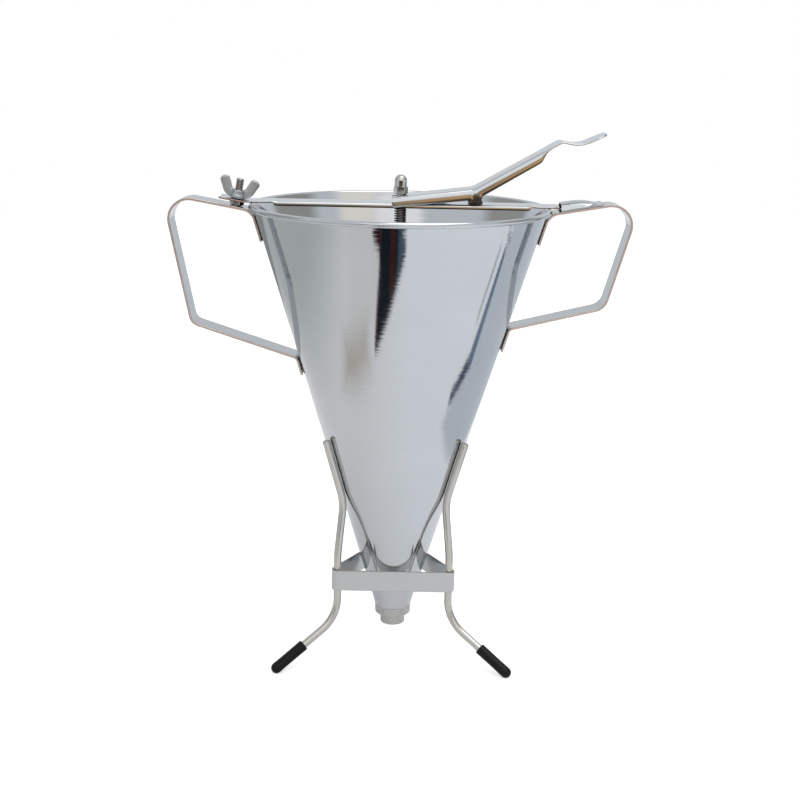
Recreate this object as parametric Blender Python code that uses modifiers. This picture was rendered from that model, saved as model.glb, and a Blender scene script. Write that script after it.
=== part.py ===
"""Pancake batter dispenser: a steel funnel with a spring-loaded piston, a thumb lever and a wire stand.

Units are metres, +Z is up, and the origin is on the floor under the funnel's axis.
The camera side of the object is -Y, the wing nut is at -X and the thumb lever's tab at +X.
"""
import math

import bmesh
import bpy
from mathutils import Matrix, Vector

# Fits and cuts
FIT = 0.0003                # gap left between pieces that touch
TURNING_FIT = 0.00008       # radial play of what turns or slides on a pin, stud or rod
THREAD_FIT = 0.0003         # radial play of a fixed nut over its stud
OVERRUN = 0.003             # how far a cutter runs past what it cuts
WEB_ALLOWANCE = 0.00005     # what a blank takes off a flat end
LAP = 0.00002               # how far the bar's channel stands over its strip
MERGE = 0.000001            # welding distance
EDGE_BREAK = 0.0003         # deburred edge of cut strip
ARC_STEP = math.radians(13)  # turn between the points of a bend
ROUND_STEPS = 28            # facets round a small turned piece
FUNNEL_STEPS = 72           # facets round the funnel

# Funnel
RIM_RADIUS = 0.0950         # outside of the rolled rim
RIM_HEIGHT = 0.2998         # middle of the rolled rim above the floor
BEAD_RADIUS = 0.00175       # outside of the rolled edge's section
BEAD_SWEEP = math.radians(290)
FUNNEL_SHEET = 0.0008
MOUTH_RADIUS = 0.0115       # mid-wall radius where the cone ends in the spout
MOUTH_HEIGHT = 0.0320

# Spout
COLLAR_HEIGHT = 0.0053
SPOUT_WALL = 0.0018
SPOUT_LENGTH = 0.0075       # plain tube under the collar
SPOUT_BORE = 0.0064         # radius
SEAT_LAND = 0.0003          # step between the cone's inside and the conical valve seat
SEAT_DEPTH = 0.0034

# Handles, bent from flat strip
STRIP_WIDTH = 0.0200
STRIP_SHEET = 0.0015
HANDLE_OUTSET = 0.0500      # outermost point beyond the rim
UPPER_TAB_LENGTH = 0.0190   # tongue welded to the cone, measured down its height
TOP_BEND = 0.0085
TOP_SLOPE = math.radians(10)
GRIP_BEND = 0.0130
LEFT_HANDLE = {
    "top_drop": 0.0031, "grip_lean": math.radians(11.5), "lower_bend": 0.0070, "rise": math.radians(17.9),
    "span": 0.0932, "lower_tab": 0.0110, "lower_fold": 0.0035,
}
RIGHT_HANDLE = {
    "top_drop": 0.0020, "grip_lean": math.radians(15.5), "lower_bend": 0.0100, "rise": math.radians(13.8),
    "span": 0.0728, "lower_tab": 0.0145, "lower_fold": 0.0035,
}

# Clamp at the left handle
THREAD_RADIUS = 0.0025      # M5
NUT_FLATS = 0.0080          # M5 nut across flats
STUD_OUTSET = 0.0080        # stud's foot beyond the rim
STUD_LENGTH = 0.0166
STUD_CHAMFER = 0.0006
SPACER_NUT_HEIGHT = 0.0026
NUT_CHAMFER = 0.0005        # how far the chamfering blank runs past a nut's faces
NUT_FACE_SHARE = 0.97       # round face of a nut against its flats
WING_HUB_FOOT = 0.0047      # hub radius at the strip
WING_HUB_TOP = 0.0036
WING_HUB_HEIGHT = 0.0052
WING_THICKNESS = 0.0022
WING_EDGE = 0.0005
WING_SPAN = 0.0252
WING_HEIGHT = 0.0119

# Bridge bar over the rim
BRIDGE_SHEET = 0.0010
BRIDGE_CORNER = 0.0013      # outside bend between web and flanges
BRIDGE_BEND = 0.0060
BRIDGE_END_LENGTH = 0.0105  # strip past the stud
STEP_RISE = 0.0003          # the bar's middle stands this much over its ends
STEP_RUN = 0.0030
STEP_BEND = 0.0015
FLANGE_DEPTH = 0.0028       # channel height with its web
FLANGE_INSET_LEFT = 0.0160  # channel's ends inside the rim
FLANGE_INSET_RIGHT = 0.0140
FLANGE_CORNER = 0.0022
TONGUE_OUTSET = 0.0045      # where the bar narrows, beyond the rim
TONGUE_LENGTH = 0.0075
TONGUE_INSET = 0.0040       # on each side
TONGUE_CORNER = 0.0030
STUD_HOLE = 0.0030          # radius

# Keeper, a pressed clip on the right handle
KEEPER_SHEET = 0.0008
KEEPER_LENGTH = 0.0262
KEEPER_PLAY = 0.0004        # over the tongue's edges
KEEPER_ARCH_LENGTH = 0.0238
KEEPER_BRIM = 0.0007        # flat edge beside the arch
KEEPER_COLUMNS = 12
KEEPER_ROWS = 14

# Lever, an inverted channel
PIVOT_OFFSET = 0.0467       # pivot from the rod's axis
PIVOT_RISE = 0.0054         # pivot above the bridge bar
PIVOT_OVER = 0.0047         # lever's top face above the pivot, square to the face
LEVER_SHEET = 0.0012
LEVER_PLAY = 0.0008         # between the lever's walls and the bar
LEVER_CORNER = 0.0022       # outside bend between web and walls
LEVER_SLOPE = math.radians(7.0)
ARM_SLOPE = math.radians(28.8)
LEVER_BEND = 0.0080
LEVER_TIP = 0.0056          # lever's end past the rod's axis
LEVER_DEPTH = 0.0064        # channel height
LEVER_END_DEPTH = 0.0050    # channel height where the walls run out
LEVER_TIP_CORNER = 0.0030
BOSS_RADIUS = 0.0034        # wall left round the pivot
ARM_LENGTH = 0.0594         # from the bend to the crest before the thumb tab
WALL_SHORT = 0.0146         # walls' lower edges stop this far before the crest
WALL_RUN_OUT = 0.0108       # and run out into the tab here
TAB_FALL = 0.0130           # first flat of the thumb tab
TAB_FALL_SLOPE = math.radians(7)
TAB_REACH = 0.0165          # second flat, turned up
TAB_REACH_SLOPE = math.radians(22.5)
TAB_BEND = 0.0080
TAB_LIP = 0.0007            # turned edge that stays under the tab
TAB_NOSE = 0.0100           # corner radius of the tab in plan
FORK_CLEARANCE = 0.0005     # beside the rod
FORK_BACK = 0.0009          # behind the rod
PIN_RADIUS = 0.0015
PIN_HEAD_RADIUS = 0.0022
PIN_HEAD_HEIGHT = 0.0005
EAR_SHEET = 0.0010
EAR_INSET = 0.0022          # bracket's ears inside the bar's edges
EAR_RADIUS = 0.0031
BRACKET_FOOT = 0.0046       # half length of the bracket's foot

# Piston
ROD_RADIUS = 0.0025
ROD_IN_PLUNGER = 0.0105
ROD_IN_NUT = 0.0066
CAP_NUT_HEX = 0.0047
CAP_NUT_HEIGHT = 0.0120
CAP_BORE_DEPTH = 0.0082
PLUNGER_INSET = 0.0009      # plunger's rim inside the seat's mouth
PLUNGER_PILOT_LENGTH = 0.0030
PLUNGER_SHOULDER = 0.0014
PLUNGER_HUB_WALL = 0.0017
PLUNGER_HUB_HEIGHT = 0.0080
SPRING_WIRE = 0.0009
SPRING_PLAY = 0.0005        # between the coil and the rod
SPRING_PITCH = 0.0015
SPRING_TURNS = 36
SPRING_POINTS = 9           # points in a turn
WASHER_RADIUS = 0.0055
WASHER_SHEET = 0.0010
STOP_PIN_RADIUS = 0.0010
STOP_PIN_LENGTH = 0.0096
STROKE_ANGLE = math.radians(24)

# Stand, three wire legs in a band
LEG_WIRE = 0.0050           # diameter
LEG_AZIMUTHS = {"leg_front_left": 210, "leg_front_right": 330, "leg_back": 90}
LEG_TOP = 0.1535
WAIST_HEIGHT = 0.1103
WAIST_BEND = 0.0400
SHOULDER_HEIGHT = 0.0750
SHOULDER_BEND = 0.0600
KNEE_HEIGHT = 0.0300
KNEE_BEND = 0.0240
TOE_RADIUS = 0.0866         # feet's circle, at the middle of the caps' round ends
BAND_TOP = 0.0646
BAND_HEIGHT = 0.0140
BAND_SHEET = 0.0010
BAND_CLEARANCE = 0.0022     # between the band and the cone
CAP_WALL = 0.00085
CAP_LENGTH = 0.0230         # from the mouth to the middle of the round end
CAP_MOUTH_EDGE = 0.0005
SOLE_CUT = 0.0005           # flat under each foot


def clear_scene():
    for item in list(bpy.data.objects):
        bpy.data.objects.remove(item, do_unlink=True)


def make_collection(name):
    collection = bpy.data.collections.new(name)
    bpy.context.scene.collection.children.link(collection)
    return collection


clear_scene()
PARTS = make_collection("pancake_batter_dispenser")
CUTTERS = make_collection("cutters")


def make_material(name, color, roughness, metallic):
    material = bpy.data.materials.new(name)
    material.use_nodes = True
    shader = material.node_tree.nodes["Principled BSDF"]
    shader.inputs["Base Color"].default_value = (*color, 1.0)
    shader.inputs["Roughness"].default_value = roughness
    shader.inputs["Metallic"].default_value = metallic
    material.diffuse_color = (*color, 1.0)
    return material


POLISHED = make_material("polished_stainless", (0.62, 0.63, 0.64), 0.08, 1.0)
STRIP_STEEL = make_material("strip_stainless", (0.60, 0.61, 0.61), 0.20, 1.0)
TURNED_STEEL = make_material("turned_stainless", (0.55, 0.55, 0.54), 0.30, 1.0)
PLATED = make_material("plated_hardware", (0.58, 0.60, 0.61), 0.28, 1.0)
WIRE_STEEL = make_material("wire_stainless", (0.58, 0.58, 0.57), 0.24, 1.0)
SPRING_STEEL = make_material("spring_wire", (0.42, 0.42, 0.42), 0.30, 1.0)
VINYL = make_material("black_vinyl", (0.012, 0.012, 0.013), 0.32, 0.0)


# Outlines: lists of 2D points

def intersection(point, heading, other, other_heading):
    """Where two lines meet, each given by a point and a heading angle."""
    ax, ay = math.cos(heading), math.sin(heading)
    bx, by = math.cos(other_heading), math.sin(other_heading)
    reach = ((other[0] - point[0]) * by - (other[1] - point[1]) * bx) / (ax * by - ay * bx)
    return point[0] + reach * ax, point[1] + reach * ay


def arc(center, radius, start, sweep, step=ARC_STEP):
    """Points on an arc, both ends included."""
    count = max(2, math.ceil(abs(sweep) / step))
    turns = [start + sweep * index / count for index in range(count + 1)]
    return [(center[0] + radius * math.cos(turn), center[1] + radius * math.sin(turn)) for turn in turns]


def bent(corners, closed=False):
    """A line through corners (x, y, bend radius), with each corner turned into an arc."""
    points = []
    count = len(corners)
    for index, (x, y, radius) in enumerate(corners):
        if radius == 0 or (not closed and index in (0, count - 1)):
            points.append((x, y))
            continue
        before = Vector(corners[index - 1][:2]) - Vector((x, y))
        after = Vector(corners[(index + 1) % count][:2]) - Vector((x, y))
        half = before.angle(after) / 2
        middle = Vector((x, y)) + (before.normalized() + after.normalized()).normalized() * radius / math.sin(half)
        first = Vector((x, y)) + before.normalized() * radius / math.tan(half) - middle
        sweep = math.pi - 2 * half
        if before.x * after.y - before.y * after.x > 0:
            sweep = -sweep
        points += arc(middle, radius, math.atan2(first.y, first.x), sweep)
    return points


def offset(path, distance):
    """The path moved sideways to its left by a distance, its corners mitred."""
    moved = []
    for index, point in enumerate(path):
        before = Vector(point) - Vector(path[index - 1]) if index > 0 else None
        after = Vector(path[index + 1]) - Vector(point) if index < len(path) - 1 else None
        headings = [side.normalized() for side in (before, after) if side is not None]
        along = sum(headings, Vector((0, 0))).normalized()
        left = Vector((-along.y, along.x))
        miter = distance / max(0.2, left.dot(Vector((-headings[0].y, headings[0].x))))
        moved.append((point[0] + left.x * miter, point[1] + left.y * miter))
    return moved


def sheet_loop(path, thickness):
    """Closed outline of a sheet that follows a path, its right side run back to front."""
    return offset(path, -thickness / 2)[::-1] + offset(path, thickness / 2)


def circle(radius, center=(0, 0), steps=ROUND_STEPS, start=0.0):
    turns = [start + 2 * math.pi * index / steps for index in range(steps)]
    return [(center[0] + radius * math.cos(turn), center[1] + radius * math.sin(turn)) for turn in turns]


# Solids

def place_object(name, mesh, material=None, parent=None, location=(0, 0, 0), rotation=None):
    piece = bpy.data.objects.new(name, mesh)
    (PARTS if material else CUTTERS).objects.link(piece)
    if material:
        mesh.materials.clear()
        mesh.materials.append(material)
    else:
        piece.hide_render = True
        piece.display_type = "WIRE"
    piece.location = location
    if rotation is not None:
        piece.rotation_euler = rotation
    piece.parent = parent
    return piece


def mesh_of_curve(curve_object):
    """The curve's mesh with its caps welded. The curve itself is removed."""
    bpy.context.view_layer.update()
    evaluated = curve_object.evaluated_get(bpy.context.evaluated_depsgraph_get())
    mesh = bpy.data.meshes.new_from_object(evaluated)
    work = bmesh.new()
    work.from_mesh(mesh)
    bmesh.ops.remove_doubles(work, verts=work.verts, dist=MERGE)
    bmesh.ops.recalc_face_normals(work, faces=work.faces)
    work.to_mesh(mesh)
    work.free()
    data = curve_object.data
    bpy.data.objects.remove(curve_object, do_unlink=True)
    bpy.data.curves.remove(data)
    return mesh


def plate_mesh(name, outlines, thickness, upright=False):
    """A flat plate of one outline, further outlines being holes. Upright ones stand in the XZ plane."""
    curve = bpy.data.curves.new(name, "CURVE")
    curve.dimensions = "2D"
    curve.fill_mode = "BOTH"
    curve.extrude = thickness / 2
    for outline in outlines:
        spline = curve.splines.new("POLY")
        spline.points.add(len(outline) - 1)
        for point, (x, y) in zip(spline.points, outline):
            point.co = (x, y, 0, 1)
        spline.use_cyclic_u = True
    holder = bpy.data.objects.new(name, curve)
    CUTTERS.objects.link(holder)
    mesh = mesh_of_curve(holder)
    mesh.name = name
    if upright:
        mesh.transform(Matrix.Rotation(math.radians(90), 4, "X"))
    return mesh


def wire_mesh(name, points, radius, resolution):
    """A round wire along 3D points, with flat ends."""
    curve = bpy.data.curves.new(name, "CURVE")
    curve.dimensions = "3D"
    curve.bevel_depth = radius
    curve.bevel_resolution = resolution
    curve.use_fill_caps = True
    curve.twist_mode = "MINIMUM"
    spline = curve.splines.new("POLY")
    spline.points.add(len(points) - 1)
    for point, place in zip(spline.points, points):
        point.co = (*place, 1)
    holder = bpy.data.objects.new(name, curve)
    CUTTERS.objects.link(holder)
    mesh = mesh_of_curve(holder)
    mesh.name = name
    return mesh


def swept_mesh(name, path, section):
    """A closed section, given as (across, up) points, swept along a path in the XZ plane."""
    shape = bpy.data.curves.new(name + "_section", "CURVE")
    shape.dimensions = "2D"
    outline = shape.splines.new("POLY")
    outline.points.add(len(section) - 1)
    for point, (across, up) in zip(outline.points, section):
        point.co = (across, up, 0, 1)
    outline.use_cyclic_u = True
    shape_object = bpy.data.objects.new(name + "_section", shape)
    CUTTERS.objects.link(shape_object)
    curve = bpy.data.curves.new(name, "CURVE")
    curve.dimensions = "3D"
    curve.bevel_mode = "OBJECT"
    curve.bevel_object = shape_object
    curve.use_fill_caps = True
    curve.twist_mode = "Z_UP"
    spline = curve.splines.new("POLY")
    spline.points.add(len(path) - 1)
    for point, (x, z) in zip(spline.points, path):
        point.co = (x, 0, z, 1)
    holder = bpy.data.objects.new(name, curve)
    CUTTERS.objects.link(holder)
    mesh = mesh_of_curve(holder)
    mesh.name = name
    bpy.data.objects.remove(shape_object, do_unlink=True)
    bpy.data.curves.remove(shape)
    return mesh


def turned(name, profile, closed, material=None, steps=ROUND_STEPS, **placing):
    """A profile of (radius, height) points turned about Z. Its outer side runs from top to bottom."""
    count = len(profile)
    edges = [(index, index + 1) for index in range(count - 1)]
    if closed:
        edges.append((count - 1, 0))
    mesh = bpy.data.meshes.new(name)
    mesh.from_pydata([(radius, 0, height) for radius, height in profile], edges, [])
    piece = place_object(name, mesh, material, **placing)
    screw = piece.modifiers.new("turn", "SCREW")
    screw.axis = "Z"
    screw.angle = 2 * math.pi
    screw.steps = steps
    screw.render_steps = steps
    screw.use_merge_vertices = True
    screw.merge_threshold = MERGE
    screw.use_smooth_shade = True
    return piece


def break_edges(piece, width, segments=1):
    bevel = piece.modifiers.new("edges", "BEVEL")
    bevel.width = width
    bevel.segments = segments
    bevel.limit_method = "ANGLE"
    bevel.angle_limit = math.radians(40)


def combine(piece, tool, operation="DIFFERENCE"):
    boolean = piece.modifiers.new(operation.lower(), "BOOLEAN")
    boolean.operation = operation
    boolean.object = tool
    return piece


def round_cutter(name, radius, length, **placing):
    return place_object(name, plate_mesh(name, [circle(radius)], length), **placing)


def box_cutter(name, low, high, **placing):
    outline = [(low[0], low[1]), (high[0], low[1]), (high[0], high[1]), (low[0], high[1])]
    mesh = plate_mesh(name, [outline], high[2] - low[2])
    mesh.transform(Matrix.Translation((0, 0, (low[2] + high[2]) / 2)))
    return place_object(name, mesh, **placing)


def make_axis(name, location, rotation=(0, 0, 0), parent=None):
    axis = bpy.data.objects.new(name, None)
    PARTS.objects.link(axis)
    axis.location = location
    axis.rotation_euler = rotation
    axis.parent = parent
    return axis


# Where the cone's wall lies

BEAD_CENTER = (RIM_RADIUS - BEAD_RADIUS, RIM_HEIGHT)
BEAD_MID = BEAD_RADIUS - FUNNEL_SHEET / 2
WALL_RUN = (BEAD_CENTER[0] - MOUTH_RADIUS, BEAD_CENTER[1] - MOUTH_HEIGHT)
WALL_REACH = math.hypot(*WALL_RUN)
WALL_HEADING = math.atan2(WALL_RUN[1], WALL_RUN[0]) + math.asin(BEAD_MID / WALL_REACH)
HALF_ANGLE = math.pi / 2 - WALL_HEADING
RIM_TOP = RIM_HEIGHT + BEAD_RADIUS


def beside_cone(height, standoff):
    """Radius of a line that runs beside the cone's outer face, a standoff away from it."""
    mid_wall = MOUTH_RADIUS + (height - MOUTH_HEIGHT) * math.tan(HALF_ANGLE)
    return mid_wall + (FUNNEL_SHEET / 2 + standoff) / math.cos(HALF_ANGLE)


HANDLE_REACH = RIM_RADIUS + HANDLE_OUTSET
STUD_OFFSET = RIM_RADIUS + STUD_OUTSET
FLANGE_LEFT = RIM_RADIUS - FLANGE_INSET_LEFT
FLANGE_RIGHT = RIM_RADIUS - FLANGE_INSET_RIGHT
TONGUE_ROOT = RIM_RADIUS + TONGUE_OUTSET
TONGUE_WIDTH = STRIP_WIDTH - 2 * TONGUE_INSET
LEVER_WIDTH = STRIP_WIDTH + 2 * (LEVER_PLAY + LEVER_SHEET)
NUT_FOOT_RADIUS = NUT_FACE_SHARE * NUT_FLATS / 2
SPOUT_RADIUS = SPOUT_BORE + SPOUT_WALL
SEAT_MOUTH_RADIUS = beside_cone(MOUTH_HEIGHT, -FUNNEL_SHEET) - SEAT_LAND
PLUNGER_RADIUS = SEAT_MOUTH_RADIUS - PLUNGER_INSET
CAP_RADIUS = LEG_WIRE / 2 + FIT + CAP_WALL
STAND_RADIUS = 2 * (beside_cone(BAND_TOP, BAND_CLEARANCE) - LEG_WIRE / 2 - FIT)  # legs' circle in the band


def funnel_cone(parent):
    straight = math.sqrt(WALL_REACH ** 2 - BEAD_MID ** 2)
    wall_top = (MOUTH_RADIUS + straight * math.cos(WALL_HEADING), MOUTH_HEIGHT + straight * math.sin(WALL_HEADING))
    start = math.atan2(wall_top[1] - BEAD_CENTER[1], wall_top[0] - BEAD_CENTER[0])
    curl = arc(BEAD_CENTER, BEAD_MID, start, -BEAD_SWEEP, BEAD_SWEEP / 10)
    path = [(MOUTH_RADIUS, MOUTH_HEIGHT)] + curl
    return turned("funnel_cone", sheet_loop(path, FUNNEL_SHEET), True, POLISHED, FUNNEL_STEPS, parent=parent)


COLLAR_TOP = MOUTH_HEIGHT - FUNNEL_SHEET / 2 * math.sin(HALF_ANGLE) - FIT
COLLAR_FOOT = COLLAR_TOP - COLLAR_HEIGHT
SEAT_FOOT = COLLAR_TOP - SEAT_DEPTH


def outlet_spout(parent):
    tip = COLLAR_FOOT - SPOUT_LENGTH
    collar = beside_cone(MOUTH_HEIGHT, 0)
    profile = [
        (collar, COLLAR_TOP), (collar, COLLAR_FOOT), (SPOUT_RADIUS, COLLAR_FOOT),
        (SPOUT_RADIUS, tip), (SPOUT_BORE, tip), (SPOUT_BORE, SEAT_FOOT), (SEAT_MOUTH_RADIUS, COLLAR_TOP),
    ]
    return turned("outlet_spout", profile, True, TURNED_STEEL, 40, parent=parent)


# Handles

def handle_lines(sizes):
    """Corners of a handle's middle line, as (distance from the axis, height, bend radius)."""
    standoff = FIT + STRIP_SHEET / 2
    top_height = RIM_HEIGHT - sizes["top_drop"]
    low_height = top_height - sizes["span"]
    top_end = top_height - UPPER_TAB_LENGTH
    low_end = low_height - sizes["lower_tab"]
    top_fold = (beside_cone(top_height, standoff), top_height)
    low_fold = (beside_cone(low_height, standoff), low_height)
    bend_x = HANDLE_REACH - STRIP_SHEET / 2 - GRIP_BEND
    top_over_bend = top_fold[1] + (bend_x - top_fold[0]) * math.tan(TOP_SLOPE)
    bend_center = (bend_x, top_over_bend - GRIP_BEND / math.cos(TOP_SLOPE))
    lean = sizes["grip_lean"]
    grip = (bend_center[0] + GRIP_BEND * math.cos(lean), bend_center[1] - GRIP_BEND * math.sin(lean))
    down = -math.pi / 2 - lean
    top_corner = intersection(top_fold, TOP_SLOPE, grip, down)
    low_corner = intersection(low_fold, sizes["rise"], grip, down)
    return [
        (beside_cone(top_end, standoff), top_end, 0), (*top_fold, TOP_BEND), (*top_corner, GRIP_BEND),
        (*low_corner, sizes["lower_bend"]), (*low_fold, sizes["lower_fold"]),
        (beside_cone(low_end, standoff), low_end, 0),
    ]


def strip_top(sizes, distance):
    """Height of the handle's upper face at a distance from the funnel's axis."""
    fold = handle_lines(sizes)[1]
    middle = fold[1] + (distance - fold[0]) * math.tan(TOP_SLOPE)
    return middle + STRIP_SHEET / 2 / math.cos(TOP_SLOPE)


def handle(name, side, sizes, parent):
    path = [(side * x, z) for x, z in bent(handle_lines(sizes))]
    mesh = plate_mesh(name, [sheet_loop(path, STRIP_SHEET)], STRIP_WIDTH, upright=True)
    piece = place_object(name, mesh, STRIP_STEEL, parent)
    break_edges(piece, EDGE_BREAK)
    return piece


# Clamp stud, its nuts and the bridge bar

STUD_FOOT = (-STUD_OFFSET, 0, strip_top(LEFT_HANDLE, STUD_OFFSET))
STACK_TO_BRIDGE = FIT + SPACER_NUT_HEIGHT + FIT
BRIDGE_SEAT = RIM_TOP + FIT + BRIDGE_SHEET      # top of the bar where it lies on the rim
BRIDGE_TOP = BRIDGE_SEAT + STEP_RISE
PIVOT = (PIVOT_OFFSET, 0, BRIDGE_TOP + PIVOT_RISE)


def hex_outline(flats):
    return circle(flats / math.sqrt(3), steps=6)


def nut_mesh(name, height):
    mesh = plate_mesh(name, [hex_outline(NUT_FLATS), circle(THREAD_RADIUS + THREAD_FIT)[::-1]], height)
    mesh.transform(Matrix.Translation((0, 0, height / 2)))
    return mesh


def chamfer_shape(name, foot, height, both_ends, **placing):
    """Turned blank that takes the corners off a hexagon."""
    slope = math.tan(math.radians(30))
    face = NUT_FACE_SHARE * NUT_FLATS / 2
    wide = NUT_FLATS / math.sqrt(3) + NUT_CHAMFER
    run = (wide - face) * slope
    narrow = face - NUT_CHAMFER / slope
    top = [(0, height + NUT_CHAMFER), (narrow, height + NUT_CHAMFER), (wide, height - run)]
    if not both_ends:
        top = [(0, height + OVERRUN), (wide, height + OVERRUN)]
    bottom = [(wide, foot + run), (narrow, foot - NUT_CHAMFER), (0, foot - NUT_CHAMFER)]
    return turned(name, top + bottom, False, **placing)


def clamp_stud(axis):
    profile = [
        (0, STUD_LENGTH), (THREAD_RADIUS - STUD_CHAMFER, STUD_LENGTH), (THREAD_RADIUS, STUD_LENGTH - STUD_CHAMFER),
        (THREAD_RADIUS, FIT), (0, FIT),
    ]
    return turned("clamp_stud", profile, False, PLATED, parent=axis)


def spacer_nut(axis):
    piece = place_object("spacer_nut", nut_mesh("spacer_nut", SPACER_NUT_HEIGHT), PLATED, axis, (0, 0, FIT))
    blank = chamfer_shape("spacer_nut_blank", FIT, FIT + SPACER_NUT_HEIGHT, True, parent=axis)
    return combine(piece, blank, "INTERSECT")


def wing_nut(axis):
    """Round hub with two upswept wings, built on the stud's axis."""
    foot = STACK_TO_BRIDGE + BRIDGE_SHEET + FIT
    hub = [
        (WING_HUB_TOP, foot + WING_HUB_HEIGHT), (WING_HUB_FOOT, foot + WING_EDGE), (WING_HUB_FOOT, foot),
        (THREAD_RADIUS + TURNING_FIT, foot), (THREAD_RADIUS + TURNING_FIT, foot + WING_HUB_HEIGHT),
    ]
    piece = turned("wing_nut", hub, True, PLATED, parent=axis)
    half = WING_SPAN / 2
    root = THREAD_RADIUS + 2 * THREAD_FIT
    tip = WING_HEIGHT / 10
    wing = bent([
        (root, foot + WING_EDGE, 0), (0.42 * half, foot + WING_EDGE, 0.3 * half), (0.66 * half, foot + 1.8 * tip, half / 2),
        (1.04 * half, foot + 8.4 * tip, 0.22 * half), (0.55 * half, foot + 10.4 * tip, 0.12 * half),
        (root, foot + 3.9 * tip, 0),
    ], closed=True)
    for side, label in ((-1, "left"), (1, "right")):
        mesh = plate_mesh("wing_" + label, [[(side * x, z) for x, z in wing]], WING_THICKNESS, upright=True)
        blade = place_object("wing_" + label, mesh, parent=axis)
        break_edges(blade, WING_EDGE)
        combine(piece, blade, "UNION")
    return piece


def bridge_corners():
    """Corners of the bar's top face, from the raised end at the stud to the tongue."""
    stack = STACK_TO_BRIDGE + BRIDGE_SHEET
    over_stud = (STUD_FOOT[0] + stack * math.sin(TOP_SLOPE), STUD_FOOT[2] + stack * math.cos(TOP_SLOPE))
    fold = intersection(over_stud, math.pi - TOP_SLOPE, (0, BRIDGE_SEAT), 0)
    end_run = BRIDGE_END_LENGTH * math.cos(TOP_SLOPE)
    end = (over_stud[0] - end_run, over_stud[1] + end_run * math.tan(TOP_SLOPE))
    step_left = -FLANGE_LEFT - STEP_BEND
    step_right = FLANGE_RIGHT + STEP_BEND
    return [
        (*end, 0), (*fold, BRIDGE_BEND), (step_left - STEP_RUN, BRIDGE_SEAT, STEP_BEND),
        (step_left, BRIDGE_TOP, STEP_BEND), (step_right, BRIDGE_TOP, STEP_BEND),
        (step_right + STEP_RUN, BRIDGE_SEAT, STEP_BEND), (TONGUE_ROOT + TONGUE_LENGTH, BRIDGE_SEAT, 0),
    ]


def channel_section(width, sheet, corner, depth):
    """Inverted channel with rounded corners, as (across, up) points, the web's top face at zero."""
    side = width / 2
    outer = bent([(-side, -depth, 0), (-side, 0, corner), (side, 0, corner), (side, -depth, 0)])
    inner_side = side - sheet
    inner_corner = corner - sheet
    inner = bent([
        (inner_side, -depth, 0), (inner_side, -sheet, inner_corner),
        (-inner_side, -sheet, inner_corner), (-inner_side, -depth, 0),
    ])
    return outer + inner


def strip_section(width, sheet):
    """Flat strip with broken edges, as (across, up) points, its top face at zero."""
    side = width / 2
    return bent([
        (-side, -sheet, EDGE_BREAK), (side, -sheet, EDGE_BREAK), (side, 0, EDGE_BREAK), (-side, 0, EDGE_BREAK),
    ], closed=True)


def bridge_channel(parent):
    """The bar's middle, a channel whose web laps the strip all round."""
    section = channel_section(STRIP_WIDTH, BRIDGE_SHEET + 2 * LAP, BRIDGE_CORNER, FLANGE_DEPTH)
    length = FLANGE_LEFT + FLANGE_RIGHT
    mesh = plate_mesh("bridge_channel", [section], length, upright=True)
    mesh.transform(Matrix.Rotation(math.radians(90), 4, "Z"))
    place = ((FLANGE_RIGHT - FLANGE_LEFT) / 2, 0, BRIDGE_TOP + LAP)
    piece = place_object("bridge_channel", mesh, parent=parent, location=place)
    half = length / 2 - WEB_ALLOWANCE
    side = bent([
        (-half, OVERRUN, 0), (-half, -FLANGE_DEPTH + WEB_ALLOWANCE, FLANGE_CORNER),
        (half, -FLANGE_DEPTH + WEB_ALLOWANCE, FLANGE_CORNER), (half, OVERRUN, 0),
    ])
    side_mesh = plate_mesh("bridge_side", [side], 2 * STRIP_WIDTH, upright=True)
    return combine(piece, place_object("bridge_side", side_mesh, parent=parent, location=place), "INTERSECT")


def bridge_bar(parent, stud_axis):
    corners = bridge_corners()
    section = strip_section(STRIP_WIDTH - 2 * LAP, BRIDGE_SHEET)
    piece = place_object("bridge_bar", swept_mesh("bridge_bar", bent(corners), section), STRIP_STEEL, parent)
    combine(piece, bridge_channel(parent), "UNION")
    side = STRIP_WIDTH / 2 + OVERRUN
    tongue = TONGUE_WIDTH / 2
    tongue_end = TONGUE_ROOT + TONGUE_LENGTH - WEB_ALLOWANCE
    plan = bent([
        (corners[0][0] - OVERRUN, side, 0), (corners[0][0] - OVERRUN, -side, 0), (TONGUE_ROOT, -side, 0),
        (TONGUE_ROOT, -tongue, TONGUE_CORNER / 2), (tongue_end, -tongue, TONGUE_CORNER),
        (tongue_end, tongue, TONGUE_CORNER), (TONGUE_ROOT, tongue, TONGUE_CORNER / 2), (TONGUE_ROOT, side, 0),
    ], closed=True)
    blank = plate_mesh("bridge_blank", [plan], 2 * (STUD_LENGTH + FLANGE_DEPTH))
    combine(piece, place_object("bridge_blank", blank, parent=parent, location=(0, 0, BRIDGE_TOP)), "INTERSECT")
    hole = round_cutter("rod_hole", ROD_RADIUS + TURNING_FIT, 2 * FLANGE_DEPTH, parent=parent, location=(0, 0, BRIDGE_TOP))
    combine(piece, hole)
    stud_hole = round_cutter("stud_hole", STUD_HOLE, 2 * FLANGE_DEPTH, parent=stud_axis,
                             location=(0, 0, STACK_TO_BRIDGE))
    return combine(piece, stud_hole)


def arch_crown(share):
    """Height of the pressed arch at a share of its half width, as a share of its rise."""
    return math.sqrt(max(0, 1 - abs(share) ** 3))


def arch_run_out(share):
    """How the pressed arch falls away along the handle, to nothing at a share of one."""
    return max(0, 1 - share ** 3) ** 1.2


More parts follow.
